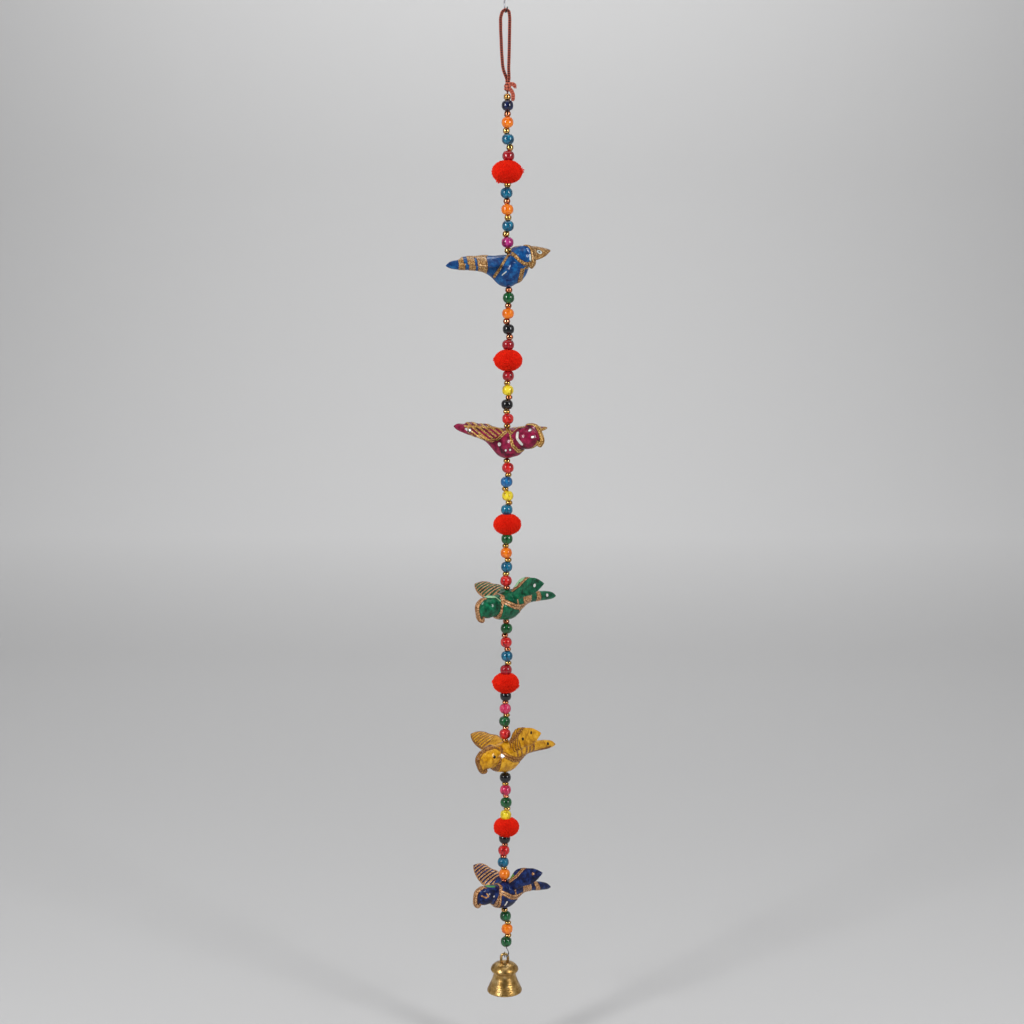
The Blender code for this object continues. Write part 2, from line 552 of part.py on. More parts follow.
def build():
    clear_scene()
    make_hook()
    make_hanging_loop()
    make_knot()

    items = []
    for pompom, bird in zip(POMPOMS, BIRDS):
        items += [("pompom", pompom), ("bird", bird)]
    z = FIRST_BEAD - BEAD_HEIGHT / 2 - RUNS[0]["space"]
    x_above = KNOT_X - 0.5
    thread = [(KNOT_BOTTOM + GAP, x_above, THREAD / 2)]
    number = 0
    for index, run in enumerate(RUNS):
        half = run["space"] / 2 - 0.12
        for colour, x, spacer, lean in zip(run["beads"], run["sway"], run["spacers"], run["lean"]):
            if spacer:
                middle = (x_above + x) / 2 + lean
                thread += spacer_rings(z + run["space"] / 2, middle, x_above, x, half)
                z += run["space"]
            number += 1
            make_bead(number, colour, x, -z - BEAD_HEIGHT / 2)
            z += BEAD_HEIGHT
            x_above = x
        if index == len(items):
            break
        kind, row = items[index]
        following = RUNS[index + 1]
        x_below = row["sway"] if following["spacers"][0] else following["sway"][0]
        if run["last"]:
            middle = (x_above + x_below) / 2 + run["last"][1]
            thread += spacer_rings(z + run["space"] / 2, middle, x_above, x_below, half)
            z += run["space"]
            x_above = x_below
        which = index // 2 + 1
        thread += [(z, x_above, THREAD / 2), (z + row["room"], x_below, THREAD / 2)]
        if kind == "pompom":
            make_pompom(which, row, -z - row["room"] / 2, x_above, x_below)
        else:
            make_bird(which, row, -z - row["room"], x_below)
        z += row["room"]
        x_above = x_below
    thread_end = z - BEAD_HEIGHT / 2
    thread.append((thread_end, x_above, THREAD / 2))
    make_thread(thread)
    make_link(RUNS[-1]["sway"][-1], -thread_end - GAP)
    make_bell()
    make_clapper()


build()
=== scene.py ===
# %% [markdown]
# # A beaded string of birds, from the top of its hook to the rim of its bell
# The real thing is a string of birds as bazaars sell it: one thread carries dyed wooden beads,
# small metallised spacer beads, wool pompoms and five painted papier mache birds, and a cast
# brass bell hangs at the end.  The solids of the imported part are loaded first.  They fix where
# every piece is, and each finished surface below takes the place of one of them.

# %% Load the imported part
import json
import math

import bpy
import numpy as np
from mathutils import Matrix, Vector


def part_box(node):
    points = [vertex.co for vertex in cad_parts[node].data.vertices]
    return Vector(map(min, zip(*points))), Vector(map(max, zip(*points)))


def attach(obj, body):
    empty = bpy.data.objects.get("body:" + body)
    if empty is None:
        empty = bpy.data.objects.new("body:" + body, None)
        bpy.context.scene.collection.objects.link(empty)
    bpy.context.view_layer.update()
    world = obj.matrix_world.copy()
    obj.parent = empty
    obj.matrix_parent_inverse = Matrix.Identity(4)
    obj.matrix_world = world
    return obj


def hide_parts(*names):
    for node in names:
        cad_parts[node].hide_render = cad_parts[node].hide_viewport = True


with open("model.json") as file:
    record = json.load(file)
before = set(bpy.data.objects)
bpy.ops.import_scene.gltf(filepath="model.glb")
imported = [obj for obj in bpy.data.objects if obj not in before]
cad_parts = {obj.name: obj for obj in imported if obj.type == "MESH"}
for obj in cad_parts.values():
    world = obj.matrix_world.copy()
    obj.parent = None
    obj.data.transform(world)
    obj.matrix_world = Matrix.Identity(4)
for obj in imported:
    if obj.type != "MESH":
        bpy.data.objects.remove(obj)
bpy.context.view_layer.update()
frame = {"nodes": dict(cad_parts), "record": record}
MM = 0.001

# %% [markdown]
# ## The photographer's view
# The camera looks down on the string from the height of its upper third, which is why the lower
# birds show their backs.  The distance and the lens follow from how the bead spacing shrinks
# down the string.  The frame is square.

# %% Camera
DISTANCE = 1.544
TILT_DOWN = 8.0
LENS = 59.77
CAMERA_HEIGHT = -0.26795
CAMERA_X = 0.0066

lens = bpy.data.cameras.new("camera")
lens.lens = LENS
lens.sensor_width = 36.0
lens.clip_start = 0.05
camera = bpy.data.objects.new("camera", lens)
camera.location = (CAMERA_X, -DISTANCE, CAMERA_HEIGHT)
camera.rotation_euler = (math.radians(90.0 - TILT_DOWN), 0.0, 0.0)
bpy.context.scene.collection.objects.link(camera)
bpy.context.scene.camera = camera
print("camera", round(DISTANCE, 3), "m in front, lens", LENS, "mm")

# %% [markdown]
# ## Helpers for shapes
# Every surface here is a grid of points: a function of two parameters, worked out for all
# points at once.  Three helpers are enough.  One joins the grid's points into faces, one puts
# arrays into a mesh, and one reads a table of sizes as a smooth curve.


# %% Grids into meshes
def grid_faces(rows, columns, wrap_rows=False, wrap_columns=True):
    """Quads of a grid of points numbered row by row; wrapping joins the last line to the first."""
    i = np.arange(rows if wrap_rows else rows - 1)[:, None]
    j = np.arange(columns if wrap_columns else columns - 1)[None, :]
    below, right = (i + 1) % rows, (j + 1) % columns
    corners = (i * columns + j, i * columns + right, below * columns + right, below * columns + j)
    corners = [np.broadcast_to(corner, (i.size, j.size)) for corner in corners]
    return np.stack(corners, -1).reshape(-1, 4)


def cap_faces(first, columns, flip, middle):
    """Triangles that join a ring of points to its own middle point."""
    j = np.arange(columns)
    ring = first + np.stack((j, (j + 1) % columns), -1)
    if flip:
        ring = ring[:, ::-1]
    return np.column_stack((ring, np.full(columns, middle)))


def put_mesh(name, points, faces, material, body="string"):
    """Object from points in millimetres and a list of face arrays, riding on a body."""
    faces = [f for f in faces if len(f)]
    counts = np.concatenate([np.full(len(f), f.shape[1]) for f in faces])
    mesh = bpy.data.meshes.new(name)
    mesh.vertices.add(len(points))
    mesh.vertices.foreach_set("co", (np.asarray(points) * MM).astype(np.float32).ravel())
    mesh.loops.add(int(counts.sum()))
    corners = np.concatenate([f.ravel() for f in faces]).astype(np.int32)
    mesh.loops.foreach_set("vertex_index", corners)
    mesh.polygons.add(len(counts))
    mesh.polygons.foreach_set("loop_start", (np.cumsum(counts) - counts).astype(np.int32))
    mesh.update(calc_edges=True)
    mesh.polygons.foreach_set("use_smooth", np.full(len(counts), True))
    mesh.materials.append(material)
    made = bpy.data.objects.new(name, mesh)
    bpy.context.scene.collection.objects.link(made)
    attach(made, body)
    return made


def closed_grid(points, rows, columns):
    """Faces of a tube whose two end rings are closed by fans; returns points and faces."""
    ends = np.stack((points[:columns].mean(0), points[-columns:].mean(0)))
    count = rows * columns
    return (np.vstack((points, ends)),
            [grid_faces(rows, columns), cap_faces(0, columns, True, count),
             cap_faces(count - columns, columns, False, count + 1)])


def many(parts):
    """Several (points, faces) shells as one."""
    points, faces, start = [], [], 0
    for shell, shell_faces in parts:
        points.append(shell)
        faces += [f + start for f in shell_faces]
        start += len(shell)
    return np.vstack(points), faces


def smooth_table(table, at):
    """Rows of a table read at any place of its first column: a cubic Hermite curve."""
    table, at = np.asarray(table, float), np.asarray(at, float)
    keys = table[:, 0]
    slopes = np.gradient(table, keys, axis=0)
    at = np.clip(at, keys[0], keys[-1])
    low = np.clip(np.searchsorted(keys, at) - 1, 0, len(keys) - 2)
    width = (keys[low + 1] - keys[low])[..., None]
    t = (at - keys[low])[..., None] / width
    return ((2 * t**3 - 3 * t**2 + 1) * table[low] + (t**3 - 2 * t**2 + t) * width * slopes[low]
            + (3 * t**2 - 2 * t**3) * table[low + 1] + (t**3 - t**2) * width * slopes[low + 1])


def smooth_path(points, count):
    """count points at even spacing along a smooth curve through the given ones."""
    points = np.asarray(points, float)
    keys = np.concatenate(([0.0], np.cumsum(np.linalg.norm(np.diff(points, axis=0), axis=1))))
    close_keys = np.linspace(0, keys[-1], 40 * len(keys))
    fine = smooth_table(np.column_stack((keys, points)), close_keys)[:, 1:]
    run = np.concatenate(([0.0], np.cumsum(np.linalg.norm(np.diff(fine, axis=0), axis=1))))
    even = np.linspace(0, run[-1], count)
    return np.column_stack([np.interp(even, run, fine[:, k]) for k in range(3)])


def length_of(path):
    return float(np.linalg.norm(np.diff(path, axis=0), axis=1).sum())


print("helpers ready")


# %% [markdown]
# ## Helpers for finishes
# Colours are written as the hex values a paint maker would give and turned to linear light.
# Node trees grow through one function that adds a node with its settings and links.


# %% Colours and nodes
def light(code):
    """#rrggbb as linear red, green, blue and a full alpha."""
    channels = [int(code[i:i + 2], 16) / 255 for i in (1, 3, 5)]
    return (*(c / 12.92 if c <= 0.04045 else ((c + 0.055) / 1.055)**2.4 for c in channels), 1.0)


def add(tree, kind, links=None, values=None, stops=(), **settings):
    """A node with its settings, constant socket values, colour stops and links from sockets."""
    node = tree.nodes.new("ShaderNode" + kind)
    for key, value in settings.items():
        setattr(node, key, value)
    for key, value in (values or {}).items():
        node.inputs[key].default_value = value
    for key, source in (links or {}).items():
        tree.links.new(source, node.inputs[key])
    for index, (place, code) in enumerate(stops):
        elements = node.color_ramp.elements
        element = elements[index] if index < 2 else elements.new(place)
        element.position = place
        element.color = light(code)
    return node


def new_material(name, base, roughness, metallic=0.0, **sockets):
    """A material with a Principled shader; returns the material, its tree and the shader."""
    made = bpy.data.materials.new(name)
    made.use_nodes = True
    made.diffuse_color = light(base)
    shader = made.node_tree.nodes["Principled BSDF"]
    shader.inputs["Base Color"].default_value = light(base)
    shader.inputs["Roughness"].default_value = roughness
    shader.inputs["Metallic"].default_value = metallic
    for key, value in sockets.items():
        shader.inputs[key.replace("_", " ")].default_value = value
    return made, made.node_tree, shader


print("orange dye is", [round(v, 3) for v in light("#e1872a")])

# %% [markdown]
# ## Floor, backdrop and lamps
# A studio sweep: floor and wall are one bent sheet of grey paper, so no horizon shows, and the
# wall stands so far back that the hanging can be walked round.  Two tall softboxes stand left and
# right of the camera; they give each glossy bead its pair of soft highlights.  The room itself is
# light, and darker behind the camera, which lets metal show both bright and dark.  One lamp hangs
# overhead, and one behind the hanging lights only the paper.

# %% Sweep of paper
FLOOR = -1010.0
WALL = 2700.0
BEND = 1000.0
SHEET_FRONT = -2600.0
SHEET_TOP = 2600.0
SHEET_HALF = 3200.0
steps = np.linspace(0, 1, 33)
turn = steps * math.pi / 2
profile_y = np.concatenate(([SHEET_FRONT], WALL - BEND + BEND * np.sin(turn), [WALL]))
profile_z = np.concatenate(([FLOOR], FLOOR + BEND - BEND * np.cos(turn), [SHEET_TOP]))
across = np.linspace(-SHEET_HALF, SHEET_HALF, 9)
sweep = np.stack([np.tile(across, len(profile_y)), np.repeat(profile_y, 9),
                  np.repeat(profile_z, 9)], -1)
paper, tree, shader = new_material("matt grey paper", "#c9c9c9", 0.9)
place = add(tree, "TexCoord").outputs["Object"]
# the grey is painted darker on the floor and slightly darker at the top of the wall: painted shade that
# evens out how the lamps light the paper
height = add(tree, "MapRange", {"Value": add(tree, "SeparateXYZ", {"Vector": place}).outputs["Z"]},
             {"From Min": FLOOR * MM, "From Max": (FLOOR + 1.2 * BEND) * MM})
painted_shade_on_paper = add(tree, "ValToRGB", {"Fac": height.outputs["Result"]},
            stops=((0.0, "#c6c6c6"), (0.13, "#dcdcdc"), (1.0, "#d8d8d8")))
tree.links.new(painted_shade_on_paper.outputs["Color"], shader.inputs["Base Color"])
grain = add(tree, "TexNoise", {"Vector": place}, {"Scale": 900.0})
bump = add(tree, "Bump", {"Height": grain.outputs["Fac"]}, {"Strength": 0.05, "Distance": 0.0005})
tree.links.new(bump.outputs["Normal"], shader.inputs["Normal"])
backdrop = put_mesh("backdrop", sweep, [grid_faces(len(profile_y), 9, wrap_columns=False)], paper)
backdrop.parent = None
print("floor", FLOOR, "mm below the hook")


# %% Softboxes and room light
def softbox(name, place, aim, size, power):
    """A white rectangular lamp at a place, shining at another; metres and watts."""
    lamp = bpy.data.lights.new(name, "AREA")
    lamp.shape = "RECTANGLE"
    lamp.size, lamp.size_y = size
    lamp.energy = power
    made = bpy.data.objects.new(name, lamp)
    made.location = place
    away = made.location - type(made.location)(aim)
    made.rotation_euler = away.to_track_quat("Z", "Y").to_euler()
    bpy.context.scene.collection.objects.link(made)


middle = (0.0, 0.0, -0.50)
softbox("softbox left", (-1.15, -1.15, 0.10), middle, (0.32, 0.75), 20.0)
softbox("softbox right", (1.15, -1.05, 0.05), middle, (0.32, 0.75), 15.5)
softbox("overhead", (0.0, -0.2, 1.0), middle, (1.2, 0.8), 5.0)
softbox("wall light", (0.0, 1.5, 1.3), (0.0, 2.7, -0.7), (2.4, 0.4), 24.0)

world = bpy.data.worlds.new("light room")
world.use_nodes = True
tree = world.node_tree
background = tree.nodes["Background"]
direction = add(tree, "TexCoord").outputs["Generated"]
parts = add(tree, "SeparateXYZ", {"Vector": direction})
behind = add(tree, "MapRange", {"Value": parts.outputs["Y"]},
             {"From Min": -1.0, "From Max": 0.6}, interpolation_type="SMOOTHSTEP")
room = add(tree, "ValToRGB", {"Fac": behind.outputs["Result"]},
           stops=((0.0, "#303032"), (0.35, "#767678"), (1.0, "#d2d2d4"))).outputs["Color"]
tree.links.new(room, background.inputs["Color"])
background.inputs["Strength"].default_value = 0.85
bpy.context.scene.world = world
# a plain display curve keeps dyes and paints as saturated as they are
bpy.context.scene.view_settings.view_transform = "Standard"

# %% [markdown]
# ## The hanging loop
# One braided cotton cord, doubled: it goes over the hook and both ends run into the knot.  Its
# length is measured along the photographed loop.  A braid is two sets of strands that wind
# opposite ways, so its skin swells where both sets crest: the product of two slanted waves.


# %% Cord surface
def carried_rings(path, sides, radius, reference=(0.0, 1.0, 0.0)):
    """Rings square to a path: for each path point a frame from its tangent and a reference."""
    along = np.gradient(path, axis=0)
    along /= np.linalg.norm(along, axis=1)[:, None]
    first = np.cross(along, np.asarray(reference, float))
    first /= np.linalg.norm(first, axis=1)[:, None]
    second = np.cross(first, along)
    v = np.linspace(0, 2 * math.pi, sides, endpoint=False)[None, :, None]
    radius = np.broadcast_to(radius, (len(path), sides))[:, :, None]
    return (path[:, None, :] + radius * (np.cos(v) * first[:, None, :]
                                         + np.sin(v) * second[:, None, :])).reshape(-1, 3)


def braid_relief(path, sides, pitch):
    """Braid height from 0 to 1 over length s and angle v: the product of the waves
    cos(v + s/2) and cos(v - s/2), lifted to 0..1."""
    run = np.concatenate(([0.0], np.cumsum(np.linalg.norm(np.diff(path, axis=0), axis=1))))
    s = (run * 2 * math.pi / pitch)[:, None]
    v = np.linspace(0, 2 * math.pi, sides, endpoint=False)[None, :]
    return 0.5 + 0.5 * np.cos(v + s / 2) * np.cos(v - s / 2)


def attribute(obj, name, values):
    """A number on each point, for a material to read."""
    layer = obj.data.attributes.new(name, "FLOAT", "POINT")
    layer.data.foreach_set("value", np.asarray(values, np.float32))


LOOP_CORD = 2.7
BRAID_PITCH = 2.0
LOOP_TOP = 38.2
LOOP_END = 97.5
LOOP_ROUTE = ((2.0, 1.5, -LOOP_END), (-0.9, 0.8, -90.0), (-2.3, 0.2, -78.0), (-3.0, 0.0, -64.0),
              (-3.4, 0.0, -52.0), (-3.0, 0.0, -43.5), (-1.3, 0.0, -39.5), (1.2, 0.0, -LOOP_TOP),
              (3.5, 0.0, -39.5), (4.4, 0.0, -43.5), (4.5, 0.0, -52.0), (4.3, 0.0, -64.0),
              (4.0, -0.2, -78.0), (3.7, -0.9, -90.0), (4.0, -1.7, -LOOP_END))

# Braided cotton, dyed dark red: matt and fuzzy, with painted shade in the grooves and painted light on
# the crowns of its strands
cotton, tree, shader = new_material("dyed braided cotton", "#8e3a2e", 0.9, Sheen_Weight=0.15,
                                    Sheen_Roughness=0.5)
height = add(tree, "Attribute", attribute_name="relief").outputs["Fac"]
fuzz = add(tree, "TexNoise", {"Vector": add(tree, "TexCoord").outputs["Object"]},
           {"Scale": 2200.0, "Detail": 3.0})
# the braid's relief lifts the tone: painted shade in its grooves, painted light on its crowns
tone = add(tree, "Math", {0: fuzz.outputs["Fac"], 2: height}, {1: 0.3}, operation="MULTIPLY_ADD")
cotton_dye_and_painted_groove_shade = add(tree, "ValToRGB", {"Fac": tone.outputs[0]},
                 stops=((0.40, "#200403"), (0.62, "#8a3020"), (0.95, "#c4684f")))
tree.links.new(cotton_dye_and_painted_groove_shade.outputs["Color"], shader.inputs["Base Color"])
bump = add(tree, "Bump", {"Height": fuzz.outputs["Fac"]}, {"Strength": 0.5, "Distance": 0.0002})
tree.links.new(bump.outputs["Normal"], shader.inputs["Normal"])


def braided(route, diameter, rows, sides=20, reference=(0.0, 1.0, 0.0)):
    """A closed braided tube along a route, with its relief kept for the painted groove shade."""
    path = smooth_path(route, rows)
    relief = braid_relief(path, sides, BRAID_PITCH)
    radius = diameter / 2 * (0.92 + 0.2 * relief)
    points, faces = closed_grid(carried_rings(path, sides, radius, reference), rows, sides)
    return path, points, faces, np.concatenate((relief.ravel(), [0.3, 0.3]))


path, points, faces, relief = braided(LOOP_ROUTE, LOOP_CORD, 560)
loop = put_mesh("loop_cord", points, faces, cotton)
attribute(loop, "relief", relief)
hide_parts("hanging_loop")

# %% [markdown]
# ## The knot and its free ends
# Both legs of the loop run down into a tight winding, and two short ends stick out.  The
# winding is a helix of two turns about the legs; the ends are cut cords whose strands open
# like a small brush.

# %% Knot
KNOT_X = 2.7
KNOT_TOP = 97.9
TAIL_CORD = 2.8
FRAYED = 3.3
turns = np.linspace(0, 1, 26)
angle = 2 * math.pi * (2.1 * turns - 0.35)
coil = np.column_stack((KNOT_X + 1.75 * np.cos(angle), 1.7 * np.sin(angle),
                        -KNOT_TOP - 3.4 - 5.2 * turns + 0.7 * np.sin(angle + 0.6)))
left_leg = ((2.0, 1.5, -97.0), (2.2, 1.0, -101.0), (2.5, 0.5, -105.0), (2.5, 0.4, -108.6))
right_leg = ((4.0, -1.7, -97.0), (3.4, -1.2, -101.0), (2.9, -0.6, -105.0), (2.7, -0.4, -108.6))
curled_end = ((KNOT_X + 0.8, -1.0, -102.4), (KNOT_X + 3.4, -2.4, -102.4),
              (KNOT_X + 5.6, -2.8, -103.0), (KNOT_X + 6.4, -2.6, -104.9))
straight_end = ((KNOT_X + 0.8, -0.8, -105.8), (KNOT_X + 2.9, -1.7, -107.6),
                (KNOT_X + 4.5, -2.2, -110.6), (KNOT_X + 4.8, -2.4, -115.8))
square_to_coil = (0.1, 0.3, 1.0)
parts = []
reliefs = []
for route, diameter, rows, reference in ((coil, TAIL_CORD, 240, square_to_coil),
                                         (left_leg, LOOP_CORD, 70, (0.0, 1.0, 0.0)),
                                         (right_leg, LOOP_CORD, 70, (0.0, 1.0, 0.0)),
                                         (curled_end, FRAYED, 70, (0.0, 1.0, 0.0)),
                                         (straight_end, FRAYED, 90, (0.0, 1.0, 0.0))):
    path, shell, shell_faces, relief = braided(route, diameter, rows, reference=reference)
    parts.append((shell, shell_faces))
    # the relief values carry the painted shade too: the frayed ends get lighter, less shaded values
    reliefs.append(0.4 + 0.5 * relief if diameter == FRAYED else relief)
brush_chance = np.random.default_rng(5)
for end, count in ((straight_end[-1], 30), (curled_end[-1], 24)):
    for k in range(count):
        out = brush_chance.normal(size=2)
        tip = np.array(end) + (0.8 * out[0], 0.7 * out[1], -brush_chance.uniform(0.6, 1.6))
        root = np.array(end) + (0.6 * out[0], 0.5 * out[1], 0.6)
        ring = carried_rings(np.linspace(root, tip, 4), 4, np.array((0.26, 0.24, 0.18, 0.08))[:, None])
        parts.append(closed_grid(ring, 4, 4))
        # the loose strands take one fairly light value of the painted shade
        reliefs.append(np.full(18, 0.75))
points, faces = many(parts)
knot = put_mesh("knot_of_cord", points, faces, cotton)
attribute(knot, "relief", np.concatenate(reliefs))
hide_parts("knot")
print("knot:", len(points), "points")

# %% [markdown]
# ## Wooden beads
# Each bead is a turned ball of wood, drilled, dipped in dye and then in pearly lacquer.  Its
# profile is a circle a little flattened at the two drilled ends, carried round the bore.  The
# beads are not all alike: each is a percent or two wider or taller than the next.

# %% Where the beads are
BEAD_WIDTH = 10.7
BEAD_HEIGHT = 9.9
BORE = 2.7
record = frame["record"]
slot_of = {row["node"]: row["material_slot"] for row in record["subparts"]}
bead_names = sorted(n for n in frame["nodes"] if n.startswith("wood_bead_"))
bead_at = {}
for name in bead_names:
    low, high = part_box(name)
    bead_at[int(name[-2:])] = np.array(low + high) / 2 / MM
print(len(bead_at), "beads, the first at", bead_at[1].round(1))

# %% Dyes
# Dyed, lacquered wood: the dye pools in the grain, and a pearly lacquer with a clear coat over
# it gives a bright soft highlight and a darker rim.
DYES = {
    "navy": ("#030516", "#0a1238", "#182a60"), "orange": ("#cc5600", "#e87408", "#fc961e"),
    "teal": ("#00283e", "#065c7c", "#1c86a6"), "crimson": ("#4e020a", "#960c1a", "#b4202c"),
    "magenta": ("#580a34", "#a81c6c", "#cc4c98"), "green": ("#031e0e", "#0a5026", "#1c7a42"),
    "black": ("#020203", "#08080c", "#16161c"), "yellow": ("#a07808", "#e6cc1c", "#f8e850"),
    "red": ("#6c0408", "#c41418", "#e03c30"), "blue": ("#062a4c", "#0f5c98", "#2c8ac4"),
    "pink": ("#6c0a28", "#c42454", "#e05c80"),
}
dyed = {}
for dye, (dark, mid, pale) in DYES.items():
    made, tree, shader = new_material("dyed lacquered wood " + dye, mid, 0.5, Coat_Weight=1.0,
                                      Coat_Roughness=0.09, Specular_IOR_Level=0.1)
    place = add(tree, "TexCoord").outputs["Object"]
    grain_way = add(tree, "Mapping", {"Vector": place}, {"Scale": (1.0, 1.0, 0.35)})
    pool = add(tree, "TexNoise", {"Vector": grain_way.outputs["Vector"]},
               {"Scale": 420.0, "Detail": 4.0, "Roughness": 0.6})
    dyeing = add(tree, "ValToRGB", {"Fac": pool.outputs["Fac"]},
                 stops=((0.34, dark), (0.50, mid), (0.72, pale)))
    tree.links.new(dyeing.outputs["Color"], shader.inputs["Base Color"])
    bump = add(tree, "Bump", {"Height": pool.outputs["Fac"]}, {"Strength": 0.18, "Distance": 0.0003})
    tree.links.new(bump.outputs["Normal"], shader.inputs["Normal"])
    dyed[dye] = made
print("dyes:", sorted(dyed))


# %% Turning the beads
def bored_ball(width, height, bore, rows, sides, flat=2.3, relief=None):
    """Ball round a bore: over angle u from the bore's rim to the other, the radius is
    |cos u|^(2/flat) and the height |sin u|^(2/flat) sign u; the bore closes the surface."""
    edge = math.acos((bore / width)**(flat / 2))
    u = np.linspace(edge, -edge, rows)
    radius = width / 2 * np.abs(np.cos(u))**(2 / flat)
    tall = height / 2 * np.abs(np.sin(u))**(2 / flat) * np.sign(u)
    wall = np.linspace(tall[-1], tall[0], 4)[1:-1]
    radius = np.concatenate((radius, np.full(2, radius[-1])))
    tall = np.concatenate((tall, wall))
    v = np.linspace(0, 2 * math.pi, sides, endpoint=False)
    wobble = 1.0 if relief is None else relief(np.concatenate((u, [edge, edge]))[:, None], v[None, :])
    r = radius[:, None] * wobble
    points = np.stack((r * np.cos(v), r * np.sin(v),
                       np.broadcast_to(tall[:, None], (len(radius), sides))), -1)
    return points.reshape(-1, 3), [grid_faces(rows + 2, sides, wrap_rows=True)[:, ::-1]]


def tilted(points, lean_x, lean_y):
    """Points leaned by two small angles, in degrees, about X and Y."""
    a, b = math.radians(lean_x), math.radians(lean_y)
    about_x = np.array(((1, 0, 0), (0, math.cos(a), -math.sin(a)), (0, math.sin(a), math.cos(a))))
    about_y = np.array(((math.cos(b), 0, math.sin(b)), (0, 1, 0), (-math.sin(b), 0, math.cos(b))))
    return points @ (about_y @ about_x).T


bead_chance = np.random.default_rng(11)
for name in bead_names:
    number = int(name[-2:])
    dye = slot_of[name].replace("wood_", "")
    wide = BEAD_WIDTH * bead_chance.uniform(0.975, 1.025)
    tall = BEAD_HEIGHT * bead_chance.uniform(0.98, 1.01)
    knobs = None
    if dye == "yellow":
        knobs = (lambda u, v: 1 + 0.02 * np.cos(5 * v) * np.cos(4 * u))
    points, faces = bored_ball(wide, tall, BORE, 21, 32, relief=knobs)
    points = tilted(points, *bead_chance.uniform(-3, 3, 2)) + bead_at[number]
    bead = put_mesh(name.replace("wood_bead", "bead"), points, faces, dyed[dye])
    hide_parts(name)
print("turned", len(bead_names), "beads")

# %% [markdown]
# ## Spacers and thread
# Between the wooden beads sit small glass beads with a thin metal coat, gold or copper, and
# they are what reflects the softboxes most.  They lean to one side or the other because the
# thread is thinner than their holes.  The thread itself only shows in the small gaps.

# %% Spacer table
# space between two beads, then for each spacer: the bead below it, its coat and its lean
SPACER_ROWS = (
    (4.75, ((1, "gold", -0.2), (2, "copper", 0.0), (3, "gold", -1.2), (4, "gold", 1.6))),
    (4.65, ((5, "gold", 0.9), (6, "copper", 0.0), (7, "gold", 0.3), (8, "gold", -1.6))),
    (4.16, ((9, "copper", 0.2), (10, "copper", 0.0), (11, "copper", -1.5), (12, "copper", 1.2))),
    (3.12, ((14, "gold", -0.8), (15, "copper", 1.4), (16, "gold", -0.7))),
    (3.01, ((17, "gold", -1.0), (18, "gold", 1.0), (19, "gold", -1.6), (20, "gold", 1.6))),
    (3.17, ((22, "gold", -0.9), (23, "gold", 1.5), (24, "gold", -0.4))),
    (3.21, ((25, "copper", -0.3), (26, "copper", -1.4), (27, "copper", 1.0), (28, "gold", 1.6))),
    (2.23, ((30, "copper", 0.0), (31, "gold", 1.6), (32, "copper", 0.9))),
    (2.24, ((34, "gold", 0.0), (35, "copper", 0.2), (36, "gold", 1.2))),
    (1.71, ((38, "copper", 0.7), (39, "copper", 0.0), (40, "gold", 0.2))),
    (2.76, ((41, "gold", -0.9), (42, "gold", 1.6), (43, "gold", 1.4))),
)
# under the last bead of a run, over a bird: the bead above, the space, the coat, the lean
LAST_SPACERS = ((8, 4.65, "gold", 0.4), (16, 3.12, "gold", -0.6), (24, 3.17, "copper", 0.6),
                (32, 2.23, "gold", 0.0), (40, 1.71, "copper", -0.3))
SPACER_WIDTH = 6.4
SPACER_BORE = 1.9
NESTED = 1.7              # how much of a spacer is inside the beads' own hollows
print(sum(len(row) for _, row in SPACER_ROWS) + len(LAST_SPACERS), "spacers")


# %% Metal coats
def metal_coat(name, deep, mid, pale):
    """Metallised glass: a thin uneven metal film."""
    made, tree, shader = new_material(name, mid, 0.22, 1.0)
    place = add(tree, "TexCoord").outputs["Object"]
    film = add(tree, "TexNoise", {"Vector": place}, {"Scale": 700.0, "Detail": 3.0, "Roughness": 0.65})
    coat = add(tree, "ValToRGB", {"Fac": film.outputs["Fac"]},
               stops=((0.36, deep), (0.5, mid), (0.66, pale)))
    tree.links.new(coat.outputs["Color"], shader.inputs["Base Color"])
    rough = add(tree, "MapRange", {"Value": film.outputs["Fac"]}, {"To Min": 0.08, "To Max": 0.3})
    tree.links.new(rough.outputs["Result"], shader.inputs["Roughness"])
    bump = add(tree, "Bump", {"Height": film.outputs["Fac"]}, {"Strength": 0.3, "Distance": 0.0003})
    tree.links.new(bump.outputs["Normal"], shader.inputs["Normal"])
    return made


coats = {"gold": metal_coat("gold metallised glass", "#5a3a12", "#d09a4c", "#f8d898"),
         "copper": metal_coat("copper metallised glass", "#521c0a", "#c46c46", "#f4b893")}
spacer_chance = np.random.default_rng(23)
spacers = {"gold": [], "copper": []}


def spacer(coat, centre, space):
    """One spacer nested between two bead ends, so it is taller than the space it keeps."""
    tall = space + NESTED
    wide = SPACER_WIDTH * spacer_chance.uniform(0.94, 1.03)
    shell, faces = bored_ball(wide, tall, SPACER_BORE, 13, 24, flat=2.2)
    spacers[coat].append((tilted(shell, *spacer_chance.uniform(-9, 9, 2)) + centre, faces))


for space, row in SPACER_ROWS:
    for number, coat, lean in row:
        here = bead_at[number]
        above = bead_at.get(number - 1, here)
        if abs(above[2] - here[2]) > 20:
            above = here
        if number == 1:
            above = np.array((2.6, 0.0, 0.0))
        centre = np.array(((above[0] + here[0]) / 2 + lean, 0.0, here[2] + BEAD_HEIGHT / 2 + space / 2))
        spacer(coat, centre, space)
for number, space, coat, lean in LAST_SPACERS:
    here = bead_at[number]
    spacer(coat, np.array((here[0] + lean, 0.0, here[2] - BEAD_HEIGHT / 2 - space / 2)), space)
for coat, shells in spacers.items():
    points, faces = many(shells)
    made = put_mesh("spacers_" + coat, points, faces, coats[coat])
    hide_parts("strung_thread")
    print(coat, "spacers:", len(shells))

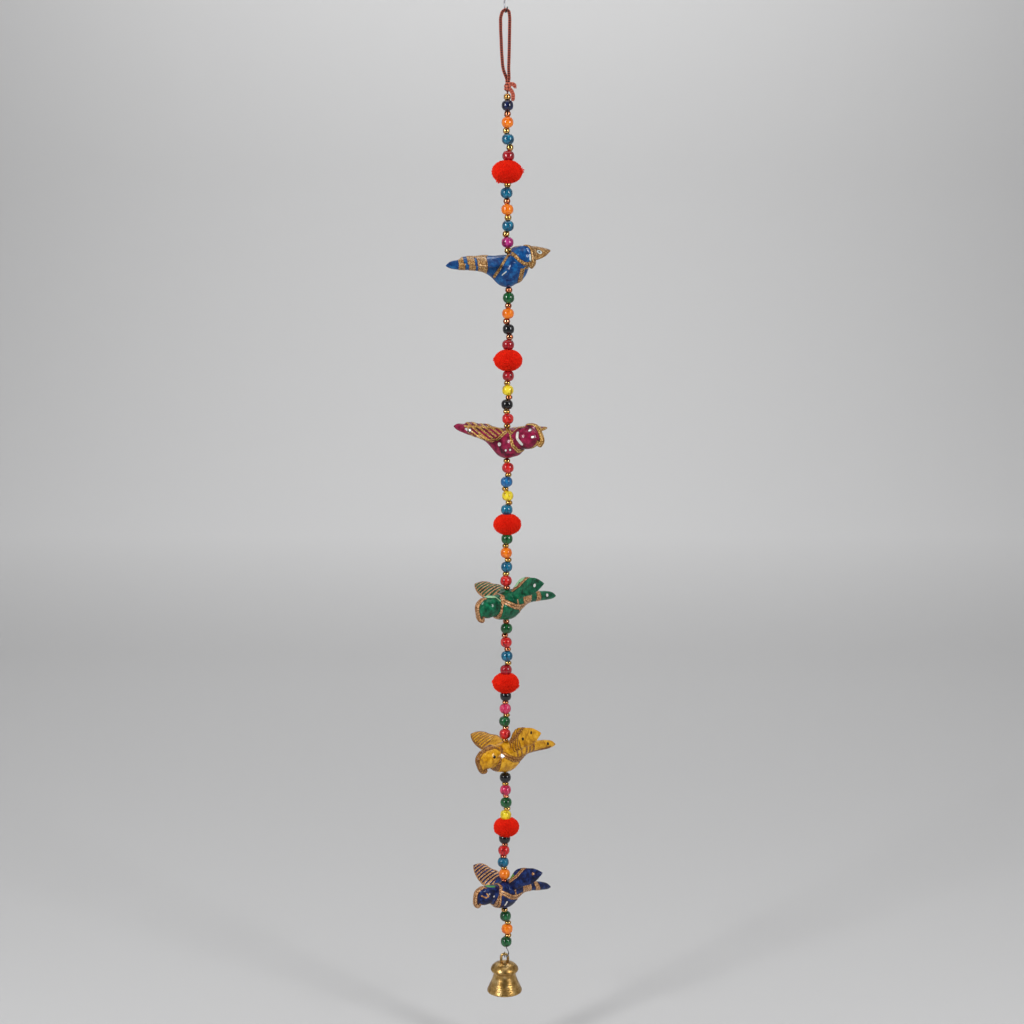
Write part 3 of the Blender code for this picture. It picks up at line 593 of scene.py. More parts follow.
# %% Thread
# Waxed cotton thread, two plies: dark red like the cord that it ends in
waxed, tree, shader = new_material("waxed cotton thread", "#6a2018", 0.7)
place = add(tree, "TexCoord").outputs["Object"]
# the diagonal bands of the two plies are painted shade in the grooves of the twist and painted light on
# its crowns
ply = add(tree, "TexWave", {"Vector": place}, {"Scale": 300.0, "Distortion": 1.0},
          bands_direction="DIAGONAL")
twist = add(tree, "ValToRGB", {"Fac": ply.outputs["Fac"]}, stops=((0.2, "#3a0d0a"), (0.8, "#8d3626")))
tree.links.new(twist.outputs["Color"], shader.inputs["Base Color"])
THREAD_WIDTH = 1.24
stations = [np.array((2.6, 0.0, -107.0))]
for number in sorted(bead_at):
    for end in (4.0, -4.0):
        stations.append(bead_at[number] + (0, 0, end))
stations = np.array(stations)
order = np.argsort(-stations[:, 2])
stations = stations[order]
tube = carried_rings(stations, 10, np.full((len(stations), 1), THREAD_WIDTH / 2))
points, faces = closed_grid(tube, len(stations), 10)
thread = put_mesh("thread", points, faces, waxed)
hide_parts("strung_thread")
print("thread", round(length_of(stations), 1), "mm")

# %% [markdown]
# ## Pompoms
# A pompom is yarn wound round two rings, cut at the rim and tied in the middle: thousands of
# cut ends that point outwards from the tie.  Here each tuft of the pile is a three-sided
# tapered fibre on a Fibonacci spiral of directions, and a dense core closes the gaps.

# %% Wool
# Acrylic wool, scarlet: matt and light-scattering, with painted shade deep in the pile and painted light
# at its tips
wool, tree, shader = new_material("scarlet cut wool", "#d21c12", 0.95, Specular_IOR_Level=0.1)
# the depth of each point in the pile sets this painted shade and light
depth = add(tree, "Attribute", attribute_name="depth").outputs["Fac"]
tuft = add(tree, "TexNoise", {"Vector": add(tree, "TexCoord").outputs["Object"]},
           {"Scale": 320.0, "Detail": 2.0})
tone = add(tree, "Math", {0: tuft.outputs["Fac"], 2: depth}, {1: 0.35}, operation="MULTIPLY_ADD")
pile = add(tree, "ValToRGB", {"Fac": tone.outputs[0]},
           stops=((0.15, "#700603"), (0.70, "#b81208"), (0.84, "#da1e0d"), (1.0, "#f02e16")))
tree.links.new(pile.outputs["Color"], shader.inputs["Base Color"])

# the pompom's middle from its solid, width, height, and where short tufts stick out further:
# (direction in the picture's plane in degrees, how far in mm)
POMPOMS = (
    (28.1, 21.2, ((5, 2.4), (228, 2.2))),
    (26.3, 20.2, ((178, 1.8), (100, 0.8))),
    (26.1, 19.8, ((20, 1.0),)),
    (25.1, 19.8, ((170, 1.6), (-12, 1.4))),
    (24.5, 18.8, ((200, 0.9),)),
)
FIBRES = 4500


def pompom_shells(middle, wide, tall, tufts, chance):
    """Core and fibres.  Fibre k leaves in direction k of a Fibonacci spiral; its length is the
    ellipsoid's radius that way, and it bows by a random amount as it goes out."""
    k = np.arange(FIBRES) + 0.5
    up = 1 - 2 * k / FIBRES
    turn = math.pi * (1 + 5**0.5) * k
    way = np.column_stack((np.sqrt(1 - up**2) * np.cos(turn), np.sqrt(1 - up**2) * np.sin(turn), up))
    way += chance.normal(0, 0.05, way.shape)
    way /= np.linalg.norm(way, axis=1)[:, None]
    half = np.array((wide / 2, wide / 2, tall / 2))
    reach = 1 / np.sqrt(((way / half)**2).sum(1))
    pole = np.clip((np.abs(way[:, 2]) - 0.93) / 0.07, 0, 1)
    reach = reach * (chance.uniform(0.955, 1.01, FIBRES) - 0.10 * pole)
    for degrees, extra in tufts:
        lean = np.array((math.cos(math.radians(degrees)), -0.3, math.sin(math.radians(degrees))))
        reach += extra * np.clip(((way @ (lean / np.linalg.norm(lean))) - 0.97) / 0.03, 0, 1)**2
    t = np.array((0.62, 0.9, 1.0))
    bow = np.cross(way, chance.normal(size=way.shape))
    line = (way[:, None, :] * (reach[:, None] * t)[:, :, None]
            + bow[:, None, :] * (0.55 * t**2)[None, :, None])
    across = np.cross(way, (0.3, 0.2, 1.0))
    across /= np.linalg.norm(across, axis=1)[:, None]
    other = np.cross(way, across)
    v = np.radians((0, 120, 240))
    thick = np.array((0.30, 0.34, 0.16))
    ring = (across[:, None, None, :] * np.cos(v)[None, None, :, None]
            + other[:, None, None, :] * np.sin(v)[None, None, :, None])
    points = (line[:, :, None, :] + thick[None, :, None, None] * ring).reshape(-1, 3)
    one = grid_faces(3, 3)
    first = (np.arange(FIBRES) * 9)[:, None, None]
    sides = (one[None] + first).reshape(-1, 4)
    ends = (np.array(((0, 2, 1), (6, 7, 8)))[None] + first).reshape(-1, 3)
    # how far out along its fibre each point lies, for the wool's painted shade; the core counts as 0.7
    deep = np.tile(np.repeat(t, 3), FIBRES)
    u = np.linspace(math.pi / 2, -math.pi / 2, 17)[1:-1]
    a = np.linspace(0, 2 * math.pi, 28, endpoint=False)
    core = np.stack((np.cos(u)[:, None] * np.cos(a), np.cos(u)[:, None] * np.sin(a),
                     np.repeat(np.sin(u)[:, None], 28, 1)), -1).reshape(-1, 3) * half * 0.9
    core_points, core_faces = closed_grid(core, 15, 28)
    shell, faces = many(((points, [sides, ends]), (core_points, core_faces)))
    return shell + middle, faces, np.concatenate((deep, np.full(len(core_points), 0.7)))


for number, (wide, tall, tufts) in enumerate(POMPOMS, 1):
    node = f"pompom_{number}"
    low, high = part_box(node)
    middle = np.array(low + high) / 2 / MM
    points, faces, deep = pompom_shells(middle, wide, tall, tufts, np.random.default_rng(60 + number))
    made = put_mesh("wool_" + node, points, faces, wool)
    attribute(made, "depth", deep)
    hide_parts(node)
    print(node, "fibres", FIBRES, "at", middle.round(1))

# %% [markdown]
# ## Painted birds
# Each bird is pressed from paper pulp in one two-part mould, dried, joined, primed and painted,
# then gilded with a raised paste and set with chips of mirror.  All five come from the same
# mould; only the wings are bent up by a different amount while the pulp is damp.  So one set of
# tables describes the body, and a short row for each bird turns and bends it.

# %% The mould's tables, in millimetres
# trunk from the tail's tip to the chest: forward, belly, back, half width
TRUNK = ((-59.0, 16.5, 17.5, 0.8), (-56.0, 15.2, 19.9, 2.4), (-48.0, 14.0, 22.2, 4.0),
         (-40.0, 13.8, 22.8, 5.0), (-30.0, 13.4, 24.4, 6.2), (-21.0, 11.8, 26.4, 7.8),
         (-13.0, 7.0, 26.4, 10.0), (-6.0, 1.2, 27.0, 11.4), (0.0, 0.0, 27.0, 12.0),
         (6.0, 0.8, 25.6, 12.0), (12.0, 2.0, 23.4, 10.7), (16.0, 5.6, 21.0, 8.0),
         (18.5, 9.6, 18.0, 4.4), (20.0, 13.0, 14.5, 0.8))
# wings along their length: share, front half chord, rear half chord, half thickness
RIGHT_WING = ((0.0, 5.0, 5.0, 3.0), (0.15, 6.9, 6.0, 3.0), (0.35, 11.7, 8.2, 2.8),
              (0.55, 10.6, 6.9, 2.5), (0.75, 7.6, 7.2, 2.1), (0.9, 4.0, 5.0, 1.6),
              (1.0, 0.6, 0.6, 0.6))
LEFT_WING = ((0.0, 4.0, 4.0, 3.0), (0.12, 5.0, 8.5, 3.0), (0.25, 5.5, 12.5, 2.8),
             (0.4, 5.5, 13.0, 2.6), (0.6, 6.2, 10.3, 2.3), (0.8, 4.6, 7.0, 1.9),
             (0.93, 2.0, 3.0, 1.3), (1.0, 0.5, 0.5, 0.5))
WING_ROOT = np.array((-2.0, 5.0, 22.5))
WING_LENGTH = 44.5
HEAD_HALF = np.array((12.0, 9.5, 9.3))
HEAD_HEIGHT = 14.5
# crest and beak: ahead of and above the head's middle, half thickness, half width
BEAK = ((5.2, 6.0, 3.4, 4.0), (10.9, 2.4, 3.4, 3.6), (11.4, -4.0, 3.0, 3.3), (10.2, -8.8, 3.0, 2.8),
        (6.6, -11.7, 1.8, 1.4))

# the bead that each bird rests on and the seat's height above it, then how the mould was bent:
# the head's place, its length and height as shares of the mould's, its dip, the beak's roll
BIRDS = (
    dict(paint="azure", bead_below=9, seat=4.46, sway=2.6, heading=-35, size=1.07, head_forward=15.2,
         head_rise=10.4, head_long=0.81, head_tall=1.04, head_tilt=9, beak_turn=21,
         tail_rise=1.0, tail_turn=8.5, left=(11, -19, 39), right=(-1, 17, 26)),
    dict(paint="plum", bead_below=17, seat=3.71, sway=2.0, heading=-33, size=1.02, head_forward=20.1,
         head_rise=5.1, head_long=1.16, head_tall=1.11, head_tilt=-1, beak_turn=32,
         tail_rise=8.8, tail_turn=-1.5, left=(2.5, -20, 5.5), right=(11, 19, 50)),
    dict(paint="emerald", bead_below=25, seat=3.41, sway=1.8, heading=220, size=1.02, head_forward=20.9,
         head_rise=0.0, head_long=1.01, head_tall=1.05, head_tilt=22, beak_turn=-3,
         tail_rise=-2.4, tail_turn=0, left=(22, 3, 73), right=(3.5, 1, 30)),
    dict(paint="ochre", bead_below=33, seat=0.7, sway=0.1, heading=220, size=1.06, head_forward=18.0,
         head_rise=2.4, head_long=1.0, head_tall=0.97, head_tilt=35, beak_turn=-16,
         tail_rise=-2.7, tail_turn=0, left=(28.5, 2.5, 84), right=(1, -1, 28)),
    dict(paint="indigo", bead_below=41, seat=3.66, sway=-0.7, heading=220, size=0.96, head_forward=21.4,
         head_rise=3.7, head_long=1.13, head_tall=0.95, head_tilt=12, beak_turn=11,
         tail_rise=-9.5, tail_turn=-2, left=(29, 17, 71), right=(9, -2, 36)),
)
print("birds:", [bird["paint"] for bird in BIRDS])


# %% [markdown]
# The trunk is a stack of ellipses, the head an egg, the beak a flat tube that hooks over, and
# each wing a leaf with a lens section.  They are made as closed shells that run into each
# other, and a voxel remesh takes the skin of the lot, which also leaves the soft fillets that
# pulp has where a wing meets the back.

# %% Shells of one bird
def trunk_section(bird, f, least):
    """At forward f: half width, half height, height of the middle, and turn about the thread.
    The tail lifts and turns with its distance from the body, the chest lifts with the head."""
    belly, back, half = np.maximum(smooth_table(TRUNK, f)[:, 1:], least).T
    tail, chest = np.clip((-f - 8) / 51, 0, 1), np.clip((f - 2) / 20, 0, 1)
    middle = (belly + back) / 2 + bird["tail_rise"] * tail**1.3 + bird["head_rise"] * 0.6 * chest
    turn = np.radians(bird["tail_turn"]) * np.clip((-f - 4) / 14, 0, 1)
    return half, (back - belly) / 2, middle, turn


def trunk_shell(bird, rows=90, sides=48):
    """Over forward f and angle a: (f, w cos a, m + h sin a), with w, m, h from the section."""
    share = 0.5 - 0.5 * np.cos(np.linspace(0, math.pi, rows))
    f = TRUNK[0][0] + (TRUNK[-1][0] - TRUNK[0][0]) * share
    half, high, middle, turn = trunk_section(bird, f, 0)
    half = np.maximum(half, 0.4)
    a = np.linspace(0, 2 * math.pi, sides, endpoint=False)[None, :]
    left = half[:, None] * np.cos(a)
    up = middle[:, None] + high[:, None] * np.sin(a)
    f, turn = f[:, None], turn[:, None]
    points = np.stack((f * np.cos(turn) - left * np.sin(turn),
                       f * np.sin(turn) + left * np.cos(turn), up), -1)
    return closed_grid(points.reshape(-1, 3), rows, sides)


def head_frame(bird):
    """The head's middle, its three axes (along the head, to the left, up) and its half sizes."""
    middle = np.array((bird["head_forward"], 0.0, HEAD_HEIGHT + bird["head_rise"]))
    tilt = math.radians(bird["head_tilt"])
    axes = np.array(((math.cos(tilt), 0.0, -math.sin(tilt)), (0.0, 1.0, 0.0),
                     (math.sin(tilt), 0.0, math.cos(tilt))))
    return middle, axes, np.array((bird["head_long"], bird["head_tall"], bird["head_tall"]))


def head_shell(bird, rows=36, sides=40):
    """An egg: (12 cos u, 9.5 sin u cos v, 9.3 sin u sin v) on the head's axes, times its shares."""
    middle, axes, share = head_frame(bird)
    u = np.linspace(math.pi - 0.02, 0.02, rows)[:, None]
    v = np.linspace(0, 2 * math.pi, sides, endpoint=False)[None, :]
    egg = np.stack((np.cos(u) + 0 * v, np.sin(u) * np.cos(v), np.sin(u) * np.sin(v)), -1)
    local = egg * HEAD_HALF * share
    return closed_grid(local.reshape(-1, 3) @ axes + middle, rows, sides)


def beak_line(bird, rows=40):
    """Points down the crest and beak in the bird's middle plane, with their half sizes: the
    mould's line rolled round the head's middle and stretched with the head."""
    table = np.column_stack((np.linspace(0, 1, len(BEAK)), BEAK))
    ahead, above, thick, wide = smooth_table(table, np.linspace(0, 1, rows))[:, 1:].T
    roll = math.radians(bird["beak_turn"])
    forward = (ahead * math.cos(roll) - above * math.sin(roll)) * bird["head_long"]
    up = (ahead * math.sin(roll) + above * math.cos(roll)) * bird["head_tall"]
    line = np.column_stack((bird["head_forward"] + forward, np.zeros(rows),
                            HEAD_HEIGHT + bird["head_rise"] + up))
    return line, thick * bird["head_long"], wide


def beak_shell(bird, sides=28):
    """Flat ellipses square to that line, half thick and half wide as the table says."""
    line, thick, wide = beak_line(bird)
    along = np.gradient(line, axis=0)
    along /= np.linalg.norm(along, axis=1)[:, None]
    normal = np.column_stack((-along[:, 2], np.zeros(len(along)), along[:, 0]))
    a = np.linspace(0, 2 * math.pi, sides, endpoint=False)[None, :, None]
    side = np.array((0.0, 1.0, 0.0))
    points = (line[:, None] + thick[:, None, None] * np.sin(a) * normal[:, None]
              + wide[:, None, None] * np.cos(a) * side)
    return closed_grid(points.reshape(-1, 3), len(line), sides)


def wing_frame(side, rise, sweep, twist):
    """The wing's root and its axes: out along it, across its chord to the front, through it."""
    rise, sweep, twist = np.radians((rise, sweep, twist))
    out = np.array((-math.sin(sweep) * math.cos(rise), side * math.cos(sweep) * math.cos(rise),
                    math.sin(rise)))
    chord = np.array((math.cos(twist), 0.0, -math.sin(twist)))
    chord -= out * (chord @ out)
    chord /= np.linalg.norm(chord)
    return WING_ROOT * (1, side, 1), np.array((out, chord, np.cross(chord, out)))


def wing_shell(table, side, bend, rows=60, sides=40):
    """Over share s and angle a: root + 44.5 s out + c cos a chord + t sin a through, where c is the
    front or the rear half chord."""
    root, (out, chord, through) = wing_frame(side, *bend)
    s = 0.5 - 0.5 * np.cos(np.linspace(0, math.pi, rows))
    front, rear, thick = np.maximum(smooth_table(table, s)[:, 1:], 0.4).T
    a = np.linspace(0, 2 * math.pi, sides, endpoint=False)
    reach = np.where(np.cos(a)[None, :] > 0, front[:, None], rear[:, None]) * np.cos(a)
    points = (root + (s * WING_LENGTH)[:, None, None] * out + reach[..., None] * chord
              + (thick[:, None] * np.sin(a))[..., None] * through)
    return closed_grid(points.reshape(-1, 3), rows, sides)


def to_world(bird, local):
    """Bird's millimetres (forward, left, up) turned to its heading and set on the thread."""
    turn = math.radians(bird["heading"])
    f, l, u = (np.asarray(local) * bird["size"]).T
    base = bead_at[bird["bead_below"]][2] + BEAD_HEIGHT / 2 + bird["seat"]
    return np.column_stack((bird["sway"] + f * math.cos(turn) - l * math.sin(turn),
                            f * math.sin(turn) + l * math.cos(turn), base + u))


def to_bird(bird, points):
    """The other way: world millimetres to the bird's own forward, left, up."""
    turn = math.radians(bird["heading"])
    base = bead_at[bird["bead_below"]][2] + BEAD_HEIGHT / 2 + bird["seat"]
    x, y, z = (points - (bird["sway"], 0.0, base)).T / bird["size"]
    return np.column_stack((x * math.cos(turn) + y * math.sin(turn),
                            -x * math.sin(turn) + y * math.cos(turn), z))


print("moulds ready")

# %% [markdown]
# ## How the paint is laid out
# The painter divides each bird with raised gold lines: a harness from the thread down the flank
# and round the breast, bands across the tail, a crest, and one band on the near wing; the far
# wing is striped.  Each painted field is a signed distance in millimetres, positive inside, so
# that the material can draw a crisp edge finer than the mesh.


# %% Distances on a bird
def near_line(points, line, half):
    """half minus the distance from each point to a polyline, for any number of dimensions."""
    line = np.asarray(line, float)
    best = np.full(len(points), 1e9)
    for a, b in zip(line[:-1], line[1:]):
        along = b - a
        t = np.clip(((points - a) @ along) / (along @ along), 0, 1)
        best = np.minimum(best, np.linalg.norm(points - a - t[:, None] * along, axis=1))
    return half - best


def between(value, low, high):
    """Distance inside a band of values, negative outside it."""
    return np.minimum(value - low, high - value)


def spots(points, places):
    """Distance inside any of several round spots (centre..., radius)."""
    best = np.full(len(points), -1e3)
    for *centre, radius in places:
        best = np.maximum(best, radius - np.linalg.norm(points - np.array(centre), axis=1))
    return best


def parts_of(bird, local):
    """Where each point of the skin belongs, and its coordinates on the wings and the head."""
    f, l, u = local.T
    half, high, middle, turn = trunk_section(bird, f, 0.3)
    trunk = np.hypot((l - f * np.tan(turn)) / half, (u - middle) / np.maximum(high, 0.3))
    centre, axes, head_share = head_frame(bird)
    on_head = (local - centre) @ axes.T / head_share
    egg = np.linalg.norm(on_head / HEAD_HALF, axis=1)
    line, thick, wide = beak_line(bird, 24)
    gap = np.hypot(f[:, None] - line[None, :, 0], u[:, None] - line[None, :, 2])
    nearest = gap.argmin(1)
    beak = (gap.min(1) < thick[nearest] + 0.5) & (np.abs(l) < wide[nearest] + 0.4) & (egg > 1.02)
    wings = {}
    for name, side, table in (("left", 1, LEFT_WING), ("right", -1, RIGHT_WING)):
        root, wing_axes = wing_frame(side, *bird[name])
        place = (local - root) @ wing_axes.T
        share = np.clip(place[:, 0] / WING_LENGTH, 0, 1)
        front, rear, deep = np.maximum(smooth_table(table, share)[:, 1:], 0.4).T
        inside = ((np.abs(place[:, 2]) < deep + 0.7) & (place[:, 1] < front + 0.8)
                  & (place[:, 1] > -rear - 0.8) & (place[:, 0] > 3) & (trunk > 1.06) & (egg > 1.1))
        wings[name] = (inside & ~beak, place, front, rear)
    head = (egg < 1.08) & ~beak
    body = ~(head | beak | wings["left"][0] | wings["right"][0])
    return body, head, beak, wings, on_head


# %% Motifs
# One row for each motif: the field it belongs to, the part it is on, its form, and its sizes in
# millimetres.  On the body a place is (forward, up); on a wing it is (along the wing, to its front
# edge); on the head it is (along the head, up).  A line has its places and half width, a double
# line has a groove down its middle, spots have a radius, bands lie across the tail between two
# places, and stripes have a slant in degrees, a pitch, a share that is filled, two ends and, if
# need be, the height where they stop at each end.  Second paint lies over the gilding before it.
HARNESS = (("gold", "body", "double",
            ((13.0, 20.5), (7.4, 17.4), (0.0, 13.6), (-7.0, 12.2), (-14.0, 12.6)), 2.2),)
BREAST = ((9.0, 23.5), (12.6, 19.0), (14.2, 13.5), (14.4, 8.0), (13.4, 2.5), (13.0, -1.0))
DOWN_WING = ((4.0, -3.5), (14.0, -6.0), (26.0, -12.5), (32.0, -16.5))
NAPE = ((6.0, 9.6), (0.0, 9.9), (-7.0, 6.6), (-9.2, 1.0), (-8.0, -4.6))
MOTIFS = {
    "azure": (
        ("gold", "body", "line", ((2.0, 27.5), (-3.0, 21.0), (-8.0, 15.0), (-13.5, 9.0)), 1.3),
        ("gold", "front", "line", ((2.0, 27.5), (8.0, 21.6), (12.0, 17.2), (17.0, 14.4),
                                   (22.0, 14.2)), 1.3),
        ("gold", "body", "line", ((16.5, 14.5), (15.2, 9.0), (12.5, 1.0)), 2.0),
        ("gold", "body", "bands", ((-50.5, -43.5), (-39.5, -32.5), (-29.8, -20.0)), 0.0),
        ("gold", "body", "line", ((-40.0, 24.6), (-21.0, 26.4)), 0.8),
        # a short pale stroke on the flank in the second paint is a painted highlight
        ("second", "body", "line", ((-5.5, 9.4), (-1.5, 11.0)), 0.5),
        ("gold", "far wing", "stripes", (0.0, 60.0, 1.0, 24.0, 42.0), 0.0),
        ("second", "far wing", "spots", ((31.5, 0.5, 2.6),), 0.0),
        ("dark", "far wing", "spots", ((31.5, 0.5, 1.0),), 0.0),
        ("second", "beak", "line", ((7.0, -9.0), (13.0, -3.0), (14.0, -12.0)), 7.0),
    ),
    "plum": (
        ("gold", "body", "double", ((0.0, 28.0), (4.0, 22.0), (5.8, 11.5), (12.0, 5.6),
                                    (20.0, 6.6)), 1.5),
        ("gold", "body", "double", ((-1.0, 24.0), (-10.5, 18.0), (-21.6, 17.6), (-29.0, 23.0)), 1.4),
        ("gold", "body", "stripes", (55.0, 3.3, 0.5, -43.0, -3.0, 14.0, 22.5), 0.0),
        ("gold", "body", "line", ((-44.0, 31.5), (-24.0, 29.4), (-4.0, 27.4)), 0.7),
        ("mirror", "body", "spots", ((-42.6, 28.4, 1.6), (-38.6, 28.0, 1.3), (-8.0, 13.6, 1.7),
                                     (-1.3, 7.6, 1.0), (3.4, 7.6, 1.0)), 0.0),
        ("mirror", "head", "line", ((-2.6, 4.2), (-2.2, 0.0), (1.0, -4.4)), 1.2),
        ("mirror", "head", "spots", ((6.4, 6.6, 0.9), (9.4, 1.4, 0.9)), 0.0),
        ("gold", "head", "line", ((-9.0, 4.0), (-5.0, 8.2), (0.0, 9.6), (6.0, 8.6)), 0.8),
        ("gold", "far wing", "stripes", (36.0, 4.6, 0.55, 9.0, 44.0), 0.0),
    ),
    "emerald": HARNESS + (
        ("gold", "body", "line", BREAST, 1.1),
        ("gold", "body", "bands", ((-36.5, -31.0), (-23.5, -11.5), (-4.4, -3.0)), 0.0),
        ("mirror", "body", "spots", ((-45.0, 17.5, 1.5),), 0.0),
        ("second", "head", "line", NAPE, 0.6),
        ("gold", "far wing", "stripes", (-15.0, 4.8, 0.5, 6.0, 44.0), 0.0),
        ("gold", "near wing", "double", DOWN_WING, 1.5),
        ("second", "near wing", "spots", ((8.0, -9.5, 4.2), (15.0, -12.5, 4.0),
                                          (22.0, -16.0, 3.2)), 0.0),
        ("mirror", "near wing", "spots", ((34.0, -0.5, 1.6),), 0.0),
    ),
    "ochre": HARNESS + (
        ("gold", "body", "beads", BREAST, 1.3),
        ("gold", "body", "bands", ((-29.0, -26.8), (-24.0, -22.0), (-18.6, -16.8),
                                   (-11.5, -10.0), (-6.0, -4.6)), 0.0),
        ("gold", "body", "beads", ((-14.0, 7.6), (-22.0, 11.6), (-36.0, 13.6), (-50.0, 13.6)), 1.2),
        ("dark", "body", "spots", ((-47.0, 17.6, 1.4),), 0.0),
        ("mirror", "body", "spots", ((11.0, 17.8, 1.5),), 0.0),
        ("dark", "head", "spots", ((0.0, 2.4, 1.5),), 0.0),
        ("gold", "head", "line", NAPE + ((-3.0, -8.6),), 0.7),
        ("gold", "far wing", "stripes", (-15.0, 4.0, 0.5, 14.0, 44.0), 0.0),
        ("gold", "near wing", "double", DOWN_WING, 1.5),
        ("gold", "near wing", "stripes", (24.0, 3.0, 0.4, 4.0, 17.0), 0.0),
        ("dark", "near wing", "spots", ((22.0, -1.5, 1.5), (34.0, -3.5, 1.4)), 0.0),
    ),
    "indigo": HARNESS + (
        ("gold", "body", "double", ((9.0, 24.5), (12.6, 20.4), (14.2, 15.0), (14.4, 9.0),
                                    (13.4, 3.0), (13.0, -1.0)), 2.0),
        ("gold", "body", "bands", ((-40.0, -34.5), (-29.0, -16.5), (-6.0, -4.4)), 0.0),
        ("mirror", "body", "line", ((7.0, 6.0), (6.0, 9.5)), 0.9),
        ("mirror", "head", "spots", ((-1.0, 0.2, 0.9),), 0.0),
        ("gold", "head", "line", ((9.0, 5.0), (6.4, 2.2), (4.0, 3.0), (4.4, 5.4)), 0.6),
        ("second", "head", "line", NAPE[:3], 0.5),
        ("gold", "far wing", "stripes", (-15.0, 4.2, 0.58, 7.0, 44.0), 0.0),
        ("second", "near wing", "spots", ((7.0, -7.0, 3.6),), 0.0),
        ("gold", "near wing", "double", DOWN_WING, 1.6),
        ("gold", "near wing", "spots", ((34.0, -2.0, 1.5),), 0.0),
    ),
}
CREST_HALF = 2.7
EDGE = 1.1
OUTSIDE = -5.0             # a distance that stands for not being near a field at all


def motif(form, at, sizes, half):
    """Distance inside one motif at places (first, second)."""
    if form == "spots":
        return spots(at, sizes)
    if form == "bands":
        bowed = at[:, 0] + 0.04 * (at[:, 1] - 18.0)**2
        return np.max([between(bowed, low, high) for low, high in sizes], axis=0)
    if form == "stripes":
        slant, pitch, share, low, high, *floor = sizes
        way = math.radians(slant)
        wave = (at[:, 0] * math.cos(way) + at[:, 1] * math.sin(way)) % pitch
        inside = np.minimum(between(wave, 0.0, pitch * share), between(at[:, 0], low, high))
        if floor:
            inside = np.minimum(inside, at[:, 1] - np.interp(at[:, 0], (low, high), floor))
        return inside
    inside = near_line(at, sizes, half)
    if form == "double":
        return np.minimum(inside, -near_line(at, sizes, 0.3))
    if form == "beads":
        return np.minimum(inside, between((at[:, 0] + at[:, 1]) % 2.4, 0.35, 2.05))
    return inside


def paint_fields(bird, local):
    """The four fields of one bird: gilding, second paint, dark paint, mirror."""
    body, head, beak, wings, on_head = parts_of(bird, local)
    forward, left, up = local.T
    faces_right = bird["heading"] < 0
    near, far = ("right", "left") if faces_right else ("left", "right")
    # a bird that faces right holds its near wing along the tail, and one pattern covers both, laid
    # out square to the viewer and not to the bird
    spread = -math.tan(math.radians(bird["heading"])) if faces_right else 0.0
    lift = bird["head_rise"] * 0.5 * np.clip(forward / 18.0, 0, 1)
    flank = np.column_stack((forward + spread * left, up - lift))
    on_body = body | wings[near][0] if faces_right else body
    profile = on_head[:, (0, 2)]
    parts = {"body": (on_body, flank), "front": (on_body | head, flank), "head": (head, profile),
             "beak": (beak, profile), "near wing": (wings[near][0], wings[near][1][:, :2]),
             "far wing": (wings[far][0], wings[far][1][:, :2])}
    fields = {key: np.full(len(local), OUTSIDE) for key in ("gold", "second", "dark", "mirror")}
    for key, part, form, sizes, half in MOTIFS[bird["paint"]]:
        where, at = parts[part]
        inside = np.where(where, motif(form, at, sizes, half), OUTSIDE)
        if key == "second":
            fields["gold"] = np.minimum(fields["gold"], -inside)
        fields[key] = np.maximum(fields[key], inside)
    # a gilded crest runs over the head and down the beak, two lines with a groove between them
    strip = np.minimum(CREST_HALF - np.abs(left), np.abs(np.abs(left) - 0.9) - 0.25)
    along, _, top = on_head.T
    crest = np.minimum(strip, along - 1.0 - 0.4 * np.clip(-top, 0, 9))
    fields["gold"] = np.maximum(fields["gold"], np.where(beak, strip, np.where(head, crest, OUTSIDE)))
    place, front, rear = wings[far][1:]
    rim = EDGE - np.minimum(front - place[:, 1], place[:, 1] + rear)
    fields["gold"] = np.maximum(fields["gold"], np.where(wings[far][0], rim, OUTSIDE))
    return list(fields.values())


print({paint: len(rows) for paint, rows in MOTIFS.items()}, "motifs")

# %% [markdown]
# ## Paint, gilding and mirror in one finish
# Poster paint under spirit varnish is glossy and a little uneven, and flecks of mica were
# dusted into it.  The gilding is bronze powder in a raised paste: metallic, grainy, with dark
# lines where it meets the paint.  The mirror is silvered glass.


# %% Finish of one bird
BRUSH_MARK = 4.8
BLUR = 0.13                  # half the width of a painted edge
BRONZE_FLAKE = 1.1           # real flakes are finer; drawn this coarse so that they show
BRONZE = ("#43290e", "#9c6c34", "#e8c486")
ROSE = ("#5a341e", "#b27c4c", "#efc494")
WARM_GOLD = ("#5c380c", "#b98438", "#f2d08a")
OLD_GOLD = ("#56300a", "#96602a", "#cf9a48")


